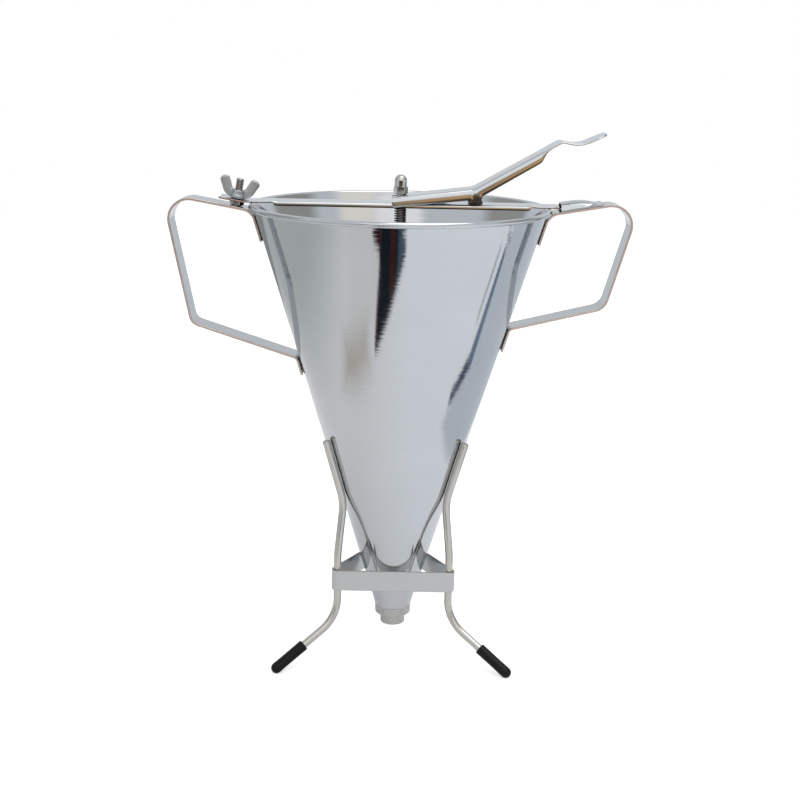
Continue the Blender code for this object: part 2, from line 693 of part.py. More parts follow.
def bridge_keeper(parent):
    """Clip whose end is pressed up into an arch over the bar's tongue and runs out flat on the handle."""
    start = TONGUE_ROOT + 2 * FIT
    arch_half = STRIP_WIDTH / 2 - KEEPER_BRIM
    over_tongue = arch_crown(TONGUE_WIDTH / 2 / arch_half)
    high = (BRIDGE_SEAT - strip_top(RIGHT_HANDLE, TONGUE_ROOT) + KEEPER_PLAY) / over_tongue
    work = bmesh.new()
    bmesh.ops.create_grid(work, x_segments=KEEPER_COLUMNS, y_segments=KEEPER_ROWS, size=0.5)
    for vertex in work.verts:
        along = vertex.co.x + 0.5
        across = 2 * vertex.co.y
        x = start + along * KEEPER_LENGTH
        arch_share = min(1, along * KEEPER_LENGTH / KEEPER_ARCH_LENGTH)
        rise = high * arch_run_out(arch_share) * arch_crown(across * STRIP_WIDTH / 2 / arch_half)
        lift = strip_top(RIGHT_HANDLE, x) + FIT / math.cos(TOP_SLOPE)
        vertex.co = (x, across * STRIP_WIDTH / 2, lift + rise)
    mesh = bpy.data.meshes.new("bridge_keeper")
    work.to_mesh(mesh)
    work.free()
    piece = place_object("bridge_keeper", mesh, STRIP_STEEL, parent)
    wall = piece.modifiers.new("wall", "SOLIDIFY")
    wall.thickness = KEEPER_SHEET
    wall.offset = 1
    wall.use_even_offset = False
    return piece


# Lever and its pivot. Its lines are measured from the pivot.

def lever_line(slope, distance):
    """A point at a distance along the lever's top face, counted from over the pivot."""
    return (
        -PIVOT_OVER * math.sin(slope) + distance * math.cos(slope),
        PIVOT_OVER * math.cos(slope) + distance * math.sin(slope),
    )


def lever_corners():
    """Corners of the lever's top face from its forked tip to the end of the thumb tab."""
    on_left = lever_line(LEVER_SLOPE, 0)
    tip_distance = (PIVOT_OFFSET + LEVER_TIP + on_left[0]) / math.cos(LEVER_SLOPE)
    tip = lever_line(LEVER_SLOPE, -tip_distance)
    bend = intersection(on_left, LEVER_SLOPE, lever_line(ARM_SLOPE, 0), ARM_SLOPE)
    crest = (bend[0] + ARM_LENGTH * math.cos(ARM_SLOPE), bend[1] + ARM_LENGTH * math.sin(ARM_SLOPE))
    dip = (crest[0] + TAB_FALL * math.cos(TAB_FALL_SLOPE), crest[1] - TAB_FALL * math.sin(TAB_FALL_SLOPE))
    end = (dip[0] + TAB_REACH * math.cos(TAB_REACH_SLOPE), dip[1] + TAB_REACH * math.sin(TAB_REACH_SLOPE))
    return [(*tip, 0), (*bend, LEVER_BEND), (*crest, TAB_BEND), (*dip, TAB_BEND), (*end, 0)]


def lever_side_outline():
    """What stays of the channel seen from the side: its walls, the boss round the pivot and the tab."""
    tip, bend, crest, dip, end = [Vector(corner[:2]) for corner in lever_corners()]
    along = (bend - tip).normalized()
    arm = (crest - bend).normalized()
    over = OVERRUN
    tip_foot = tip + Vector((along.y, -along.x)) * LEVER_DEPTH
    bend_foot = intersection(
        tip_foot, LEVER_SLOPE,
        bend + Vector((arm.y, -arm.x)) * LEVER_DEPTH, ARM_SLOPE)
    under = Vector((arm.y, -arm.x))
    wall_end_foot = crest - arm * WALL_SHORT + under * LEVER_END_DEPTH
    lip = LEVER_SHEET + TAB_LIP
    wall_run_out = crest - arm * WALL_RUN_OUT + under * lip
    crest_foot = intersection(crest + under * lip, ARM_SLOPE, dip + Vector((0, -lip)), math.pi - TAB_FALL_SLOPE)
    dip_foot = (dip.x, dip.y - lip)
    end_foot = (end.x + over, end.y + over * math.tan(TAB_REACH_SLOPE) - lip)
    return bent([
        (tip.x, tip.y + over, 0), (tip.x, tip_foot.y, LEVER_TIP_CORNER),
        (*bend_foot, LEVER_BEND), (*wall_end_foot, LEVER_TIP_CORNER / 2),
        (*wall_run_out, LEVER_TIP_CORNER), (*crest_foot, TAB_BEND),
        (*dip_foot, TAB_BEND), (*end_foot, 0), (end_foot[0], end.y + 2 * over, 0),
        (crest.x, crest.y + 2 * over, 0), (bend.x, crest.y + 2 * over, 0),
    ], closed=True)


def lever(axis):
    path = bent([(x, z, radius) for x, z, radius in lever_corners()])
    section = channel_section(LEVER_WIDTH, LEVER_SHEET, LEVER_CORNER, 2 * LEVER_DEPTH)
    piece = place_object("lever", swept_mesh("lever", path, section), STRIP_STEEL, axis)
    side = place_object(
        "lever_side", plate_mesh("lever_side", [lever_side_outline()], 2 * LEVER_WIDTH, upright=True), parent=axis)
    boss = place_object(
        "lever_boss", plate_mesh("lever_boss", [circle(BOSS_RADIUS)], 2 * LEVER_WIDTH + OVERRUN, upright=True),
        parent=axis)
    combine(side, boss, "UNION")
    combine(piece, side, "INTERSECT")
    tip, end = lever_corners()[0], lever_corners()[-1]
    half = LEVER_WIDTH / 2
    plan = bent([
        (tip[0] - OVERRUN, half + OVERRUN, 0), (tip[0] - OVERRUN, -half - OVERRUN, 0),
        (end[0] - 2 * TAB_NOSE, -half - OVERRUN, 0), (end[0] - 2 * TAB_NOSE, -half - WEB_ALLOWANCE, 0),
        (end[0], -half - WEB_ALLOWANCE, TAB_NOSE), (end[0], half + WEB_ALLOWANCE, TAB_NOSE),
        (end[0] - 2 * TAB_NOSE, half + WEB_ALLOWANCE, 0), (end[0] - 2 * TAB_NOSE, half + OVERRUN, 0),
    ], closed=True)
    blank = place_object("lever_blank", plate_mesh("lever_blank", [plan], 4 * ARM_LENGTH), parent=axis)
    combine(piece, blank, "INTERSECT")
    slot_half = ROD_RADIUS + FORK_CLEARANCE
    slot_end = -PIVOT_OFFSET + ROD_RADIUS + FORK_BACK
    slot = bent([
        (tip[0] - OVERRUN, slot_half, 0), (tip[0] - OVERRUN, -slot_half, 0),
        (slot_end, -slot_half, slot_half - FIT), (slot_end, slot_half, slot_half - FIT),
    ], closed=True)
    fork = place_object("lever_fork", plate_mesh("lever_fork", [slot], 4 * LEVER_DEPTH), parent=axis)
    combine(piece, fork)
    hole_mesh = plate_mesh("lever_hole", [circle(PIN_RADIUS + FIT)], 2 * LEVER_WIDTH, upright=True)
    return combine(piece, place_object("lever_hole", hole_mesh, parent=axis))


def pivot_pin(axis):
    """Riveted pin through the lever's walls and the bracket's ears, turned about Y."""
    wall = LEVER_WIDTH / 2 + FIT
    head = wall + PIN_HEAD_HEIGHT
    profile = [
        (0, head), (PIN_HEAD_RADIUS / 2, head), (PIN_HEAD_RADIUS, wall + PIN_HEAD_HEIGHT / 3),
        (PIN_HEAD_RADIUS, wall), (PIN_RADIUS, wall),
    ]
    profile += [(radius, -height) for radius, height in profile[::-1]]
    return turned("pivot_pin", profile, False, TURNED_STEEL, parent=axis, rotation=(math.radians(90), 0, 0))


def pivot_bracket(axis):
    """Channel bracket on the bridge bar, its two ears drilled for the pin."""
    half = STRIP_WIDTH / 2 - EAR_INSET
    foot = FIT - PIVOT_RISE
    top = EAR_RADIUS + OVERRUN
    section = bent([
        (-half, top, 0), (-half, foot, EAR_SHEET), (half, foot, EAR_SHEET), (half, top, 0),
        (half - EAR_SHEET, top, 0), (half - EAR_SHEET, foot + EAR_SHEET, 0),
        (EAR_SHEET - half, foot + EAR_SHEET, 0), (EAR_SHEET - half, top, 0),
    ], closed=True)
    mesh = plate_mesh("pivot_bracket", [section], 2 * BRACKET_FOOT, upright=True)
    mesh.transform(Matrix.Rotation(math.radians(90), 4, "Z"))
    piece = place_object("pivot_bracket", mesh, STRIP_STEEL, axis)
    low = foot - OVERRUN
    toe = BRACKET_FOOT - FIT
    over_web = foot + 1.3 * EAR_SHEET
    ear = [(-toe, low), (toe, low), (toe, over_web)]
    ear += arc((0, 0), EAR_RADIUS, math.radians(-20), math.radians(220))
    ear.append((-toe, over_web))
    shape = place_object("ear_shape", plate_mesh("ear_shape", [ear], 2 * STRIP_WIDTH, upright=True), parent=axis)
    combine(piece, shape, "INTERSECT")
    hole = plate_mesh("ear_hole", [circle(PIN_RADIUS + TURNING_FIT)], 2 * STRIP_WIDTH, upright=True)
    return combine(piece, place_object("ear_hole", hole, parent=axis))


# Piston. Its nut rests on the lever's fork, and its plunger closes the spout.

NUT_FOOT = PIVOT[2] + PIVOT_OVER / math.cos(LEVER_SLOPE) \
    - (PIVOT_OFFSET - NUT_FOOT_RADIUS) * math.tan(LEVER_SLOPE) + FIT
SPRING_TOP = BRIDGE_TOP - BRIDGE_SHEET - LAP - FIT
SPRING_FOOT = SPRING_TOP - 2 * SPRING_WIRE - SPRING_TURNS * SPRING_PITCH
WASHER_FOOT = SPRING_FOOT - FIT - WASHER_SHEET
STOP_PIN_HEIGHT = WASHER_FOOT - FIT - STOP_PIN_RADIUS
SEAT_SLOPE = math.atan2(SEAT_DEPTH, SEAT_MOUTH_RADIUS - SPOUT_BORE)
SEAT_STANDOFF = FIT / math.cos(SEAT_SLOPE)


def piston_stroke():
    """How far the lever lifts the nut, by the height of its top face under the nut's outer edge."""
    slope = LEVER_SLOPE - STROKE_ANGLE
    reach = PIVOT_OFFSET + NUT_FOOT_RADIUS
    return PIVOT[2] + PIVOT_OVER / math.cos(slope) - reach * math.tan(slope) + FIT - NUT_FOOT


def piston_rod(axis):
    top = NUT_FOOT + ROD_IN_NUT
    foot = SEAT_FOOT + SEAT_STANDOFF + PLUNGER_SHOULDER + PLUNGER_HUB_HEIGHT - ROD_IN_PLUNGER + FIT
    profile = [(0, top), (ROD_RADIUS, top), (ROD_RADIUS, foot), (0, foot)]
    piece = turned("piston_rod", profile, False, TURNED_STEEL, parent=axis)
    hole = plate_mesh("stop_pin_hole", [circle(STOP_PIN_RADIUS + TURNING_FIT, steps=12)], 4 * ROD_RADIUS, True)
    return combine(piece, place_object("stop_pin_hole", hole, parent=axis, location=(0, 0, STOP_PIN_HEIGHT)))


def cap_nut(axis):
    """Domed nut: a hexagon and a turned dome joined, with a blind bore."""
    mesh = plate_mesh("cap_nut", [hex_outline(NUT_FLATS)], CAP_NUT_HEX)
    mesh.transform(Matrix.Translation((0, 0, NUT_FOOT + CAP_NUT_HEX / 2)))
    piece = place_object("cap_nut", mesh, PLATED, axis)
    combine(piece, chamfer_shape("cap_nut_blank", NUT_FOOT, NUT_FOOT + CAP_NUT_HEX, True, parent=axis), "INTERSECT")
    top = NUT_FOOT + CAP_NUT_HEIGHT
    dome_radius = NUT_FLATS / 2
    waist = dome_radius * math.cos(ARC_STEP)
    dome = arc((0, top - dome_radius), dome_radius, math.pi / 2, -math.pi / 2)
    dome += [(waist, NUT_FOOT + CAP_NUT_HEX), (waist, NUT_FOOT + CAP_NUT_HEX / 2), (0, NUT_FOOT + CAP_NUT_HEX / 2)]
    combine(piece, turned("cap_nut_dome", dome, False, parent=axis), "UNION")
    bore_top = NUT_FOOT + CAP_BORE_DEPTH
    bore = ROD_RADIUS + THREAD_FIT
    hollow = [(0, bore_top), (bore, bore_top - bore / 2), (bore, NUT_FOOT - OVERRUN), (0, NUT_FOOT - OVERRUN)]
    return combine(piece, turned("cap_nut_bore", hollow, False, parent=axis))


def plunger_tip(axis):
    """Turned plug with a pilot in the spout's bore, a conical seal and a hub for the rod."""
    pilot = SPOUT_BORE - FIT
    seal_foot = SEAT_FOOT + SEAT_STANDOFF - FIT * math.tan(SEAT_SLOPE)
    seal_top = seal_foot + (PLUNGER_RADIUS - pilot) * math.tan(SEAT_SLOPE)
    shoulder = seal_top + PLUNGER_SHOULDER
    hub_top = shoulder + PLUNGER_HUB_HEIGHT
    bore_foot = SEAT_FOOT + SEAT_STANDOFF + PLUNGER_SHOULDER + PLUNGER_HUB_HEIGHT - ROD_IN_PLUNGER
    pilot_foot = seal_foot - PLUNGER_PILOT_LENGTH
    bore = ROD_RADIUS + FIT
    hub = bore + PLUNGER_HUB_WALL
    profile = [
        (0, bore_foot), (bore, bore_foot), (bore, hub_top), (hub, hub_top),
        (hub, shoulder + PLUNGER_SHOULDER), (PLUNGER_RADIUS, seal_top + PLUNGER_SHOULDER / 2),
        (PLUNGER_RADIUS, seal_top), (pilot, seal_foot), (pilot, pilot_foot + PLUNGER_SHOULDER),
        (pilot - PLUNGER_SHOULDER, pilot_foot), (0, pilot_foot),
    ]
    return turned("plunger_tip", profile, False, TURNED_STEEL, parent=axis)


def spring_points():
    """Helix round the rod, with a straight run of one wire diameter at each end."""
    radius = ROD_RADIUS + SPRING_PLAY + SPRING_WIRE / 2
    count = SPRING_TURNS * SPRING_POINTS
    bottom = SPRING_FOOT + SPRING_WIRE
    points = [(radius, 0, SPRING_FOOT)]
    for index in range(count + 1):
        turn = 2 * math.pi * index / SPRING_POINTS
        points.append((radius * math.cos(turn), radius * math.sin(turn), bottom + SPRING_PITCH * index / SPRING_POINTS))
    points.append((radius, 0, bottom + SPRING_TURNS * SPRING_PITCH + SPRING_WIRE))
    return points


def report_spring_gap(points):
    """Least distance between the wire's turns, less the wire, on points more than half a turn apart."""
    places = [Vector(point) for point in points]
    apart = SPRING_POINTS // 2 + 1
    least = min(
        (places[first] - places[second]).length
        for first in range(len(places)) for second in range(first + apart, min(len(places), first + 3 * apart)))
    print(f"return_spring: least gap to itself {1000 * (least - SPRING_WIRE):.2f} mm")


def return_spring(axis):
    points = spring_points()
    report_spring_gap(points)
    return place_object("return_spring", wire_mesh("return_spring", points, SPRING_WIRE / 2, 1), SPRING_STEEL, axis)


def spring_washer(axis):
    outline = [circle(WASHER_RADIUS), circle(ROD_RADIUS + FIT)[::-1]]
    mesh = plate_mesh("spring_washer", outline, WASHER_SHEET)
    return place_object("spring_washer", mesh, TURNED_STEEL, axis, (0, 0, WASHER_FOOT + WASHER_SHEET / 2))


def stop_pin(axis):
    mesh = plate_mesh("stop_pin", [circle(STOP_PIN_RADIUS, steps=12)], STOP_PIN_LENGTH, upright=True)
    return place_object("stop_pin", mesh, TURNED_STEEL, axis, (0, 0, STOP_PIN_HEIGHT))


# Stand

def leg_corners():
    """Corners of a leg's middle line, as (distance from the axis, height, bend radius)."""
    standoff = LEG_WIRE / 2 + FIT
    return [
        (beside_cone(LEG_TOP, standoff), LEG_TOP, 0), (beside_cone(WAIST_HEIGHT, standoff), WAIST_HEIGHT, WAIST_BEND),
        (STAND_RADIUS, SHOULDER_HEIGHT, SHOULDER_BEND), (STAND_RADIUS, KNEE_HEIGHT, KNEE_BEND),
        (TOE_RADIUS, TOE_HEIGHT, 0),
    ]


TOE_HEIGHT = CAP_RADIUS - SOLE_CUT


def around(azimuth, distance, height):
    turn = math.radians(azimuth)
    return (distance * math.cos(turn), distance * math.sin(turn), height)


def stand_leg(name, azimuth, parent):
    points = [around(azimuth, distance, height) for distance, height in bent(leg_corners())]
    return place_object(name, wire_mesh(name, points, LEG_WIRE / 2, 4), WIRE_STEEL, parent)


def foot_cap(name, azimuth, parent):
    """Vinyl sleeve on the wire's end, its round toe cut flat where it stands."""
    bore = LEG_WIRE / 2 + FIT
    profile = [(0, -FIT), (bore, -FIT), (bore, CAP_LENGTH), (CAP_RADIUS - CAP_MOUTH_EDGE, CAP_LENGTH)]
    profile += [(CAP_RADIUS, CAP_LENGTH - CAP_MOUTH_EDGE)]
    profile += arc((0, 0), CAP_RADIUS, 0, -math.pi / 2)
    toe = Vector(around(azimuth, TOE_RADIUS, TOE_HEIGHT))
    knee = Vector(around(azimuth, STAND_RADIUS, KNEE_HEIGHT))
    turn = (knee - toe).to_track_quat("Z", "Y").to_euler()
    piece = turned(name, profile, False, VINYL, 24, parent=parent, location=toe, rotation=turn)
    below = box_cutter(
        name + "_sole", (-CAP_LENGTH, -CAP_LENGTH, -CAP_LENGTH), (CAP_LENGTH, CAP_LENGTH, 0),
        parent=parent, location=(toe.x, toe.y, 0))
    return combine(piece, below)


def band_outline(clearance):
    """Loop round the three legs at a clearance from their middle lines."""
    points = []
    for azimuth in sorted(LEG_AZIMUTHS.values()):
        center = around(azimuth, STAND_RADIUS, 0)[:2]
        points += arc(center, clearance, math.radians(azimuth - 60), math.radians(120))
    return points


def stand_band(parent):
    inner = LEG_WIRE / 2 + FIT
    mesh = plate_mesh("stand_band", [band_outline(inner + BAND_SHEET), band_outline(inner)[::-1]], BAND_HEIGHT)
    return place_object("stand_band", mesh, STRIP_STEEL, parent, (0, 0, BAND_TOP - BAND_HEIGHT / 2))


def build_stand():
    stand = make_axis("stand_frame", (0, 0, 0))
    stand_band(stand)
    for name, azimuth in LEG_AZIMUTHS.items():
        stand_leg(name, azimuth, stand)
        foot_cap(name.replace("leg", "foot_cap"), azimuth, stand)


def build_funnel():
    funnel = make_axis("funnel_axis", (0, 0, 0))
    funnel_cone(funnel)
    outlet_spout(funnel)
    handle("left_handle", -1, LEFT_HANDLE, funnel)
    handle("right_handle", 1, RIGHT_HANDLE, funnel)
    bridge_keeper(funnel)
    stud_axis = make_axis("stud_axis", STUD_FOOT, (0, TOP_SLOPE, 0), funnel)
    clamp_stud(stud_axis)
    spacer_nut(stud_axis)
    wing_nut(stud_axis)
    bridge_bar(funnel, stud_axis)
    return funnel


def build_lever(funnel):
    pivot = make_axis("lever_pivot_axis", PIVOT, parent=funnel)
    pivot_bracket(pivot)
    lever(pivot)
    pivot_pin(pivot)


def build_piston(funnel):
    piston = make_axis("piston_axis", (0, 0, 0), parent=funnel)
    piston_rod(piston)
    cap_nut(piston)
    plunger_tip(piston)
    spring_washer(piston)
    stop_pin(piston)
    return_spring(piston)
    print(f"pivot at {PIVOT}, stud foot at {STUD_FOOT}, spring held at {SPRING_TOP:.5f}")
    print(f"piston stroke {1000 * piston_stroke():.3f} mm for {math.degrees(STROKE_ANGLE):.1f} degrees of lever")


build_stand()
FUNNEL = build_funnel()
build_lever(FUNNEL)
build_piston(FUNNEL)
for part in PARTS.objects:
    if part.type == "MESH":
        part.data.shade_smooth()
        part.data.set_sharp_from_angle(angle=math.radians(30))
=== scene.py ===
import bpy
import bmesh
import numpy as np
from mathutils import Matrix, Vector


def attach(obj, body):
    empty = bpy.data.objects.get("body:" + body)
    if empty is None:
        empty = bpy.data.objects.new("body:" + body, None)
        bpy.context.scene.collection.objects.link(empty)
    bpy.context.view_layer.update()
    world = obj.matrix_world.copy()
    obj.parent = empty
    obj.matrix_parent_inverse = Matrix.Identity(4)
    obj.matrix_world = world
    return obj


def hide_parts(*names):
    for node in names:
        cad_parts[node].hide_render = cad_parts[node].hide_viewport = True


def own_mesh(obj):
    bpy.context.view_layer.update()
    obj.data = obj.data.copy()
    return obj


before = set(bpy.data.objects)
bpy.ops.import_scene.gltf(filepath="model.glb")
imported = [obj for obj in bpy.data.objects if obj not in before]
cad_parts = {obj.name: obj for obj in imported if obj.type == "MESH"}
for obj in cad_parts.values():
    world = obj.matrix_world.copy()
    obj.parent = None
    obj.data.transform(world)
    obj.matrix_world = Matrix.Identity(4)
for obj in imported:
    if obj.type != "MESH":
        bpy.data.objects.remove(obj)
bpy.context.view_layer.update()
mm = 0.001
print("frame loaded,", len(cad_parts), "nodes")


# Materials

# sRGB hex to linear: dark values divide by 12.92, the others follow ((c + 0.055) / 1.055) ^ 2.4
def linear(hexCode):
    c = np.array([int(hexCode[i:i + 2], 16) for i in (1, 3, 5)]) / 255
    return (*np.where(c <= 0.04045, c / 12.92, ((c + 0.055) / 1.055) ** 2.4).tolist(), 1.0)


# a node with its settings, and its inputs by name or number, each a value or a socket to link
def addNode(tree, kind, settings=(), inputs=()):
    node = tree.nodes.new("ShaderNode" + kind)
    for name, value in dict(settings).items():
        setattr(node, name, value)
    for name, value in dict(inputs).items():
        if isinstance(value, bpy.types.NodeSocket):
            tree.links.new(value, node.inputs[name])
        else:
            node.inputs[name].default_value = value
    return node


# share of the second colour over the first, both a colour or a socket
def mixColour(tree, share, first, second):
    return addNode(tree, "Mix", {"data_type": "RGBA"}, {0: share, 6: first, 7: second}).outputs[2]


# 0 at the start and 1 at the end: 3 s ^ 2 - 2 s ^ 3, where s is the share of the way
def softStep(tree, value, start, end):
    return addNode(tree, "MapRange", {"interpolation_type": "SMOOTHSTEP"}, {0: value, 1: start, 2: end}).outputs[0]


def vectorMath(tree, operation, first, second=(0, 0, 0), output="Vector"):
    return addNode(tree, "VectorMath", {"operation": operation}, {0: first, 1: second}).outputs[output]


def numberMath(tree, operation, *values):
    return addNode(tree, "Math", {"operation": operation}, enumerate(values)).outputs[0]


wear = dict(hazeShare=0.6, marksShare=0.4, least=0.3, most=0.7)


# Metal whose noise is stretched to the grain that its working left: grain is the spacing of the marks
# in mm along X, Y and Z, haze that of wide cloudy marks, and 0.6 haze + 0.4 marks moves the colour and the
# roughness. bump and depth (mm) are for the height of the surface. What else is given is the colour and roughness
# where the attribute of that name is 1: cutEdge for raw sheared edges, rougher and painted browner as a reflection
# of the brown room, and the shade attribute for a painted shade line at the foot of a flange, where no light comes
def metal(name, grain, haze, dark, light, rough, bump=0.10, depth=0.02, metallic=1.0, specular=0.5, **places):
    material = bpy.data.materials.new(name)
    material.use_nodes = True
    tree = material.node_tree
    shader = tree.nodes["Principled BSDF"]
    coords = addNode(tree, "TexCoord").outputs["Object"]
    stretch = addNode(tree, "Mapping", inputs={"Vector": coords, "Scale": [1000 / spacing for spacing in grain]})
    marks = addNode(tree, "TexNoise", inputs={
        "Vector": stretch.outputs[0], "Scale": 1.0, "Detail": 3.0, "Roughness": 0.6}).outputs[0]
    cloud = addNode(tree, "TexNoise", inputs={
        "Vector": coords, "Scale": 1000 / haze, "Detail": 2.0, "Roughness": 0.5}).outputs[0]
    mixed = numberMath(tree, "MULTIPLY_ADD", cloud, wear["hazeShare"],
                       numberMath(tree, "MULTIPLY", marks, wear["marksShare"]))
    colour = mixColour(tree, mixed, linear(dark), linear(light))
    roughness = addNode(tree, "MapRange", inputs={
        0: mixed, 1: wear["least"], 2: wear["most"], 3: rough[0], 4: rough[1]}).outputs[0]
    # each place paints its colour: cutEdge a browner painted reflection on raw edges, the other a painted shade
    # line
    for attribute, (hexCode, placeRough) in places.items():
        there = addNode(tree, "Attribute", {"attribute_name": attribute}).outputs["Fac"]
        colour = mixColour(tree, there, colour, linear(hexCode))
        roughness = addNode(tree, "Mix", inputs={0: there, 2: roughness, 3: placeRough}).outputs[0]
    normal = addNode(tree, "Bump", inputs={"Strength": bump, "Distance": depth * mm, "Height": marks}).outputs[0]
    for socket, value in {"Base Color": colour, "Roughness": roughness, "Normal": normal}.items():
        tree.links.new(value, shader.inputs[socket])
    shader.inputs["Metallic"].default_value = metallic
    shader.inputs["Specular IOR Level"].default_value = specular
    return material


# pressed from strip and buffed after pressing: nearly a mirror, so it shows the room in bands
buffed = dict(grain=(30, 0.8, 30), haze=18, dark="#c0c3c6", light="#d3d5d6", rough=(0.04, 0.10), depth=0.015)
finishes = {
    # spun sheet, mirror polished: clear reflections with faint rings left by the polishing mop
    "mirrorPolishedSheet": dict(
        grain=(70, 70, 1.6), haze=45, dark="#c3c6c9", light="#d2d5d8", rough=(0.03, 0.09), bump=0.35, depth=0.06),
    # cold rolled strip, polished on its faces: soft reflections with lengthwise lines, raw cut edges painted
    # browner as a reflection of the brown room
    "polishedStrip": dict(
        grain=(26, 0.5, 26), haze=25, dark="#b4b8bb", light="#c8cbcd", rough=(0.12, 0.20),
        cutEdge=("#d2c0b8", 0.30)),
    "buffedPressing": buffed,
    # the bridge bar: the same, raw sheared edges at its flat ends painted browner as a reflection, painted shade at
    # its flanges' foot
    "buffedBar": dict(**buffed, cutEdge=("#a3877d", 0.30), deepShade=("#1d1815", 0.6)),
    # strip bent round the legs, so its lines lie level; its raw cut edges painted browner as a reflection of the
    # room
    "polishedBand": dict(
        grain=(26, 26, 0.5), haze=25, dark="#b9bbbb", light="#cbccca", rough=(0.16, 0.26),
        cutEdge=("#a89c92", 0.36)),
    # turned bar: rings from the tool, satin
    "turnedBar": dict(
        grain=(40, 40, 0.45), haze=12, dark="#b2b0ac", light="#c6c4c0", rough=(0.22, 0.34), bump=0.25, depth=0.04),
    # rivet, headed cold: satin, dull grey brown, made darker as painted shade for the gap under the lever
    "rivetInPaintedShade": dict(
        grain=(2, 2, 2), haze=4, dark="#6b625a", light="#857b70", rough=(0.20, 0.32), bump=0.12, depth=0.03),
    # nickel-plated casting: dull grey with a fine sandy skin
    "platedCasting": dict(
        grain=(2.4, 2.4, 2.4), haze=9, dark="#b0b3b4", light="#bfc2c3", rough=(0.33, 0.44), bump=0.06, depth=0.03),
    # turned and hexagon hardware, nickel plated over a polish: hard bright and dark bands
    "platedNut": dict(
        grain=(9, 9, 0.6), haze=7, dark="#bab9b5", light="#d2d1cd", rough=(0.06, 0.14)),
    # rolled and plated screw thread: bright flanks, duller roots
    "platedThread": dict(
        grain=(1.2, 1.2, 0.3), haze=5, dark="#8f8c87", light="#b3b0aa", rough=(0.20, 0.34), bump=0.15),
    # drawn stainless wire: bright, a little warm, with drawing lines
    "drawnWire": dict(
        grain=(1.4, 1.4, 9), haze=20, dark="#bab7b1", light="#d0cdc7", rough=(0.12, 0.24), bump=0.12),
    # spring wire, darkened by its heat treatment
    "springWire": dict(
        grain=(0.9, 0.9, 0.9), haze=6, dark="#5c5954", light="#7d7a73", rough=(0.22, 0.36)),
    # dipped black vinyl: deep black with a soft gloss and a slight orange peel
    "dippedVinyl": dict(
        grain=(2.2, 2.2, 2.2), haze=9, dark="#040406", light="#0a0a0d", rough=(0.24, 0.36), bump=0.12, depth=0.08,
        metallic=0.0, specular=0.22),
}
materials = {name: metal(name, **look) for name, look in finishes.items()}
print("materials made:", len(materials))


# Shapes

def aroundCircle(steps):
    return np.linspace(0, 2 * np.pi, steps, endpoint=False)


# unit vectors (cos a, sin a)
def unit(angle):
    return np.stack([np.cos(angle), np.sin(angle)], -1)


# points (r cos a, r sin a, z)
def polar(radius, angle, height):
    return np.stack([radius * np.cos(angle), radius * np.sin(angle), height + 0 * angle], -1)


# Corners (x, y, radius) become a smooth line: each corner is an arc that touches both its sides, its centre
# radius / sin(half the corner's angle) from the corner, and straight runs get a point about every spacing
def bentLine(corners, closed=False, turnStep=4, spacing=1.0):
    corners = np.asarray(corners, float)
    places, count, runs = corners[:, :2], len(corners), []
    for i, (x, y, radius) in enumerate(corners):
        here = np.array([x, y])
        if radius == 0 or (not closed and i in (0, count - 1)):
            runs.append(here[None])
            continue
        back, on = places[i - 1] - here, places[(i + 1) % count] - here
        back, on = back / np.linalg.norm(back), on / np.linalg.norm(on)
        half = np.arccos(np.clip(back @ on, -1, 1)) / 2
        centre = here + (back + on) / np.linalg.norm(back + on) * radius / np.sin(half)
        first = here + back * radius / np.tan(half) - centre
        sweep = (np.pi - 2 * half) * (-1 if back[0] * on[1] - back[1] * on[0] > 0 else 1)
        steps = max(2, int(np.ceil(abs(sweep) / np.radians(turnStep))))
        angle = np.arctan2(first[1], first[0]) + sweep * np.linspace(0, 1, steps + 1)
        runs.append(centre + radius * unit(angle))
    line = []
    for i, run in enumerate(runs):
        line.append(run)
        if closed or i + 1 < count:
            gap = runs[(i + 1) % count][0] - run[-1]
            parts = int(np.linalg.norm(gap) // spacing)
            line.append(run[-1] + gap * (np.arange(1, parts) / max(parts, 1))[:, None])
    return np.concatenate(line)


# unit direction of a line at each point: the mean of the directions before and after it
def directions(line, closed=False):
    step = (np.roll(line, -1, 0) - line) if closed else np.diff(line, axis=0)
    step = step / np.linalg.norm(step, axis=1)[:, None]
    if closed:
        along = step + np.roll(step, 1, 0)
    else:
        along = np.concatenate([step[:1], step[:-1] + step[1:], step[-1:]])
    return along / np.linalg.norm(along, axis=1)[:, None]


# what lies at the left of each direction: (x, y) turns to (-y, x)
def leftOf(along):
    return np.stack([-along[:, 1], along[:, 0]], -1)


# length of a line up to each of its points
def runOf(line):
    return np.concatenate([[0], np.cumsum(np.linalg.norm(np.diff(line, axis=0), axis=1))])


# Carry: a section goes along a flat line in XZ and stands square to it. A point is line + up * (the line's left
# side), and across is its Y. Both are one row for the whole line, or one for each of its points
def carry(line, across, up, closed=False):
    left = leftOf(directions(line, closed))
    x, z = line[:, :1] + left[:, :1] * up, line[:, 1:] + left[:, 1:] * up
    return np.stack(np.broadcast_arrays(x, across, z), -1)


# quads of a grid (rows, columns) of points. Its columns close on themselves, its rows too with wrapRows, or caps
# close the open ends with one face each
def gridFaces(shape, wrapRows, caps, start=0):
    index = start + np.arange(np.prod(shape)).reshape(shape)
    upper, lower = (index, np.roll(index, -1, 0)) if wrapRows else (index[:-1], index[1:])
    quads = np.stack([upper, np.roll(upper, -1, 1), np.roll(lower, -1, 1), lower], -1).reshape(-1, 4).tolist()
    return quads + ([index[0, ::-1].tolist(), index[-1].tolist()] if caps else [])


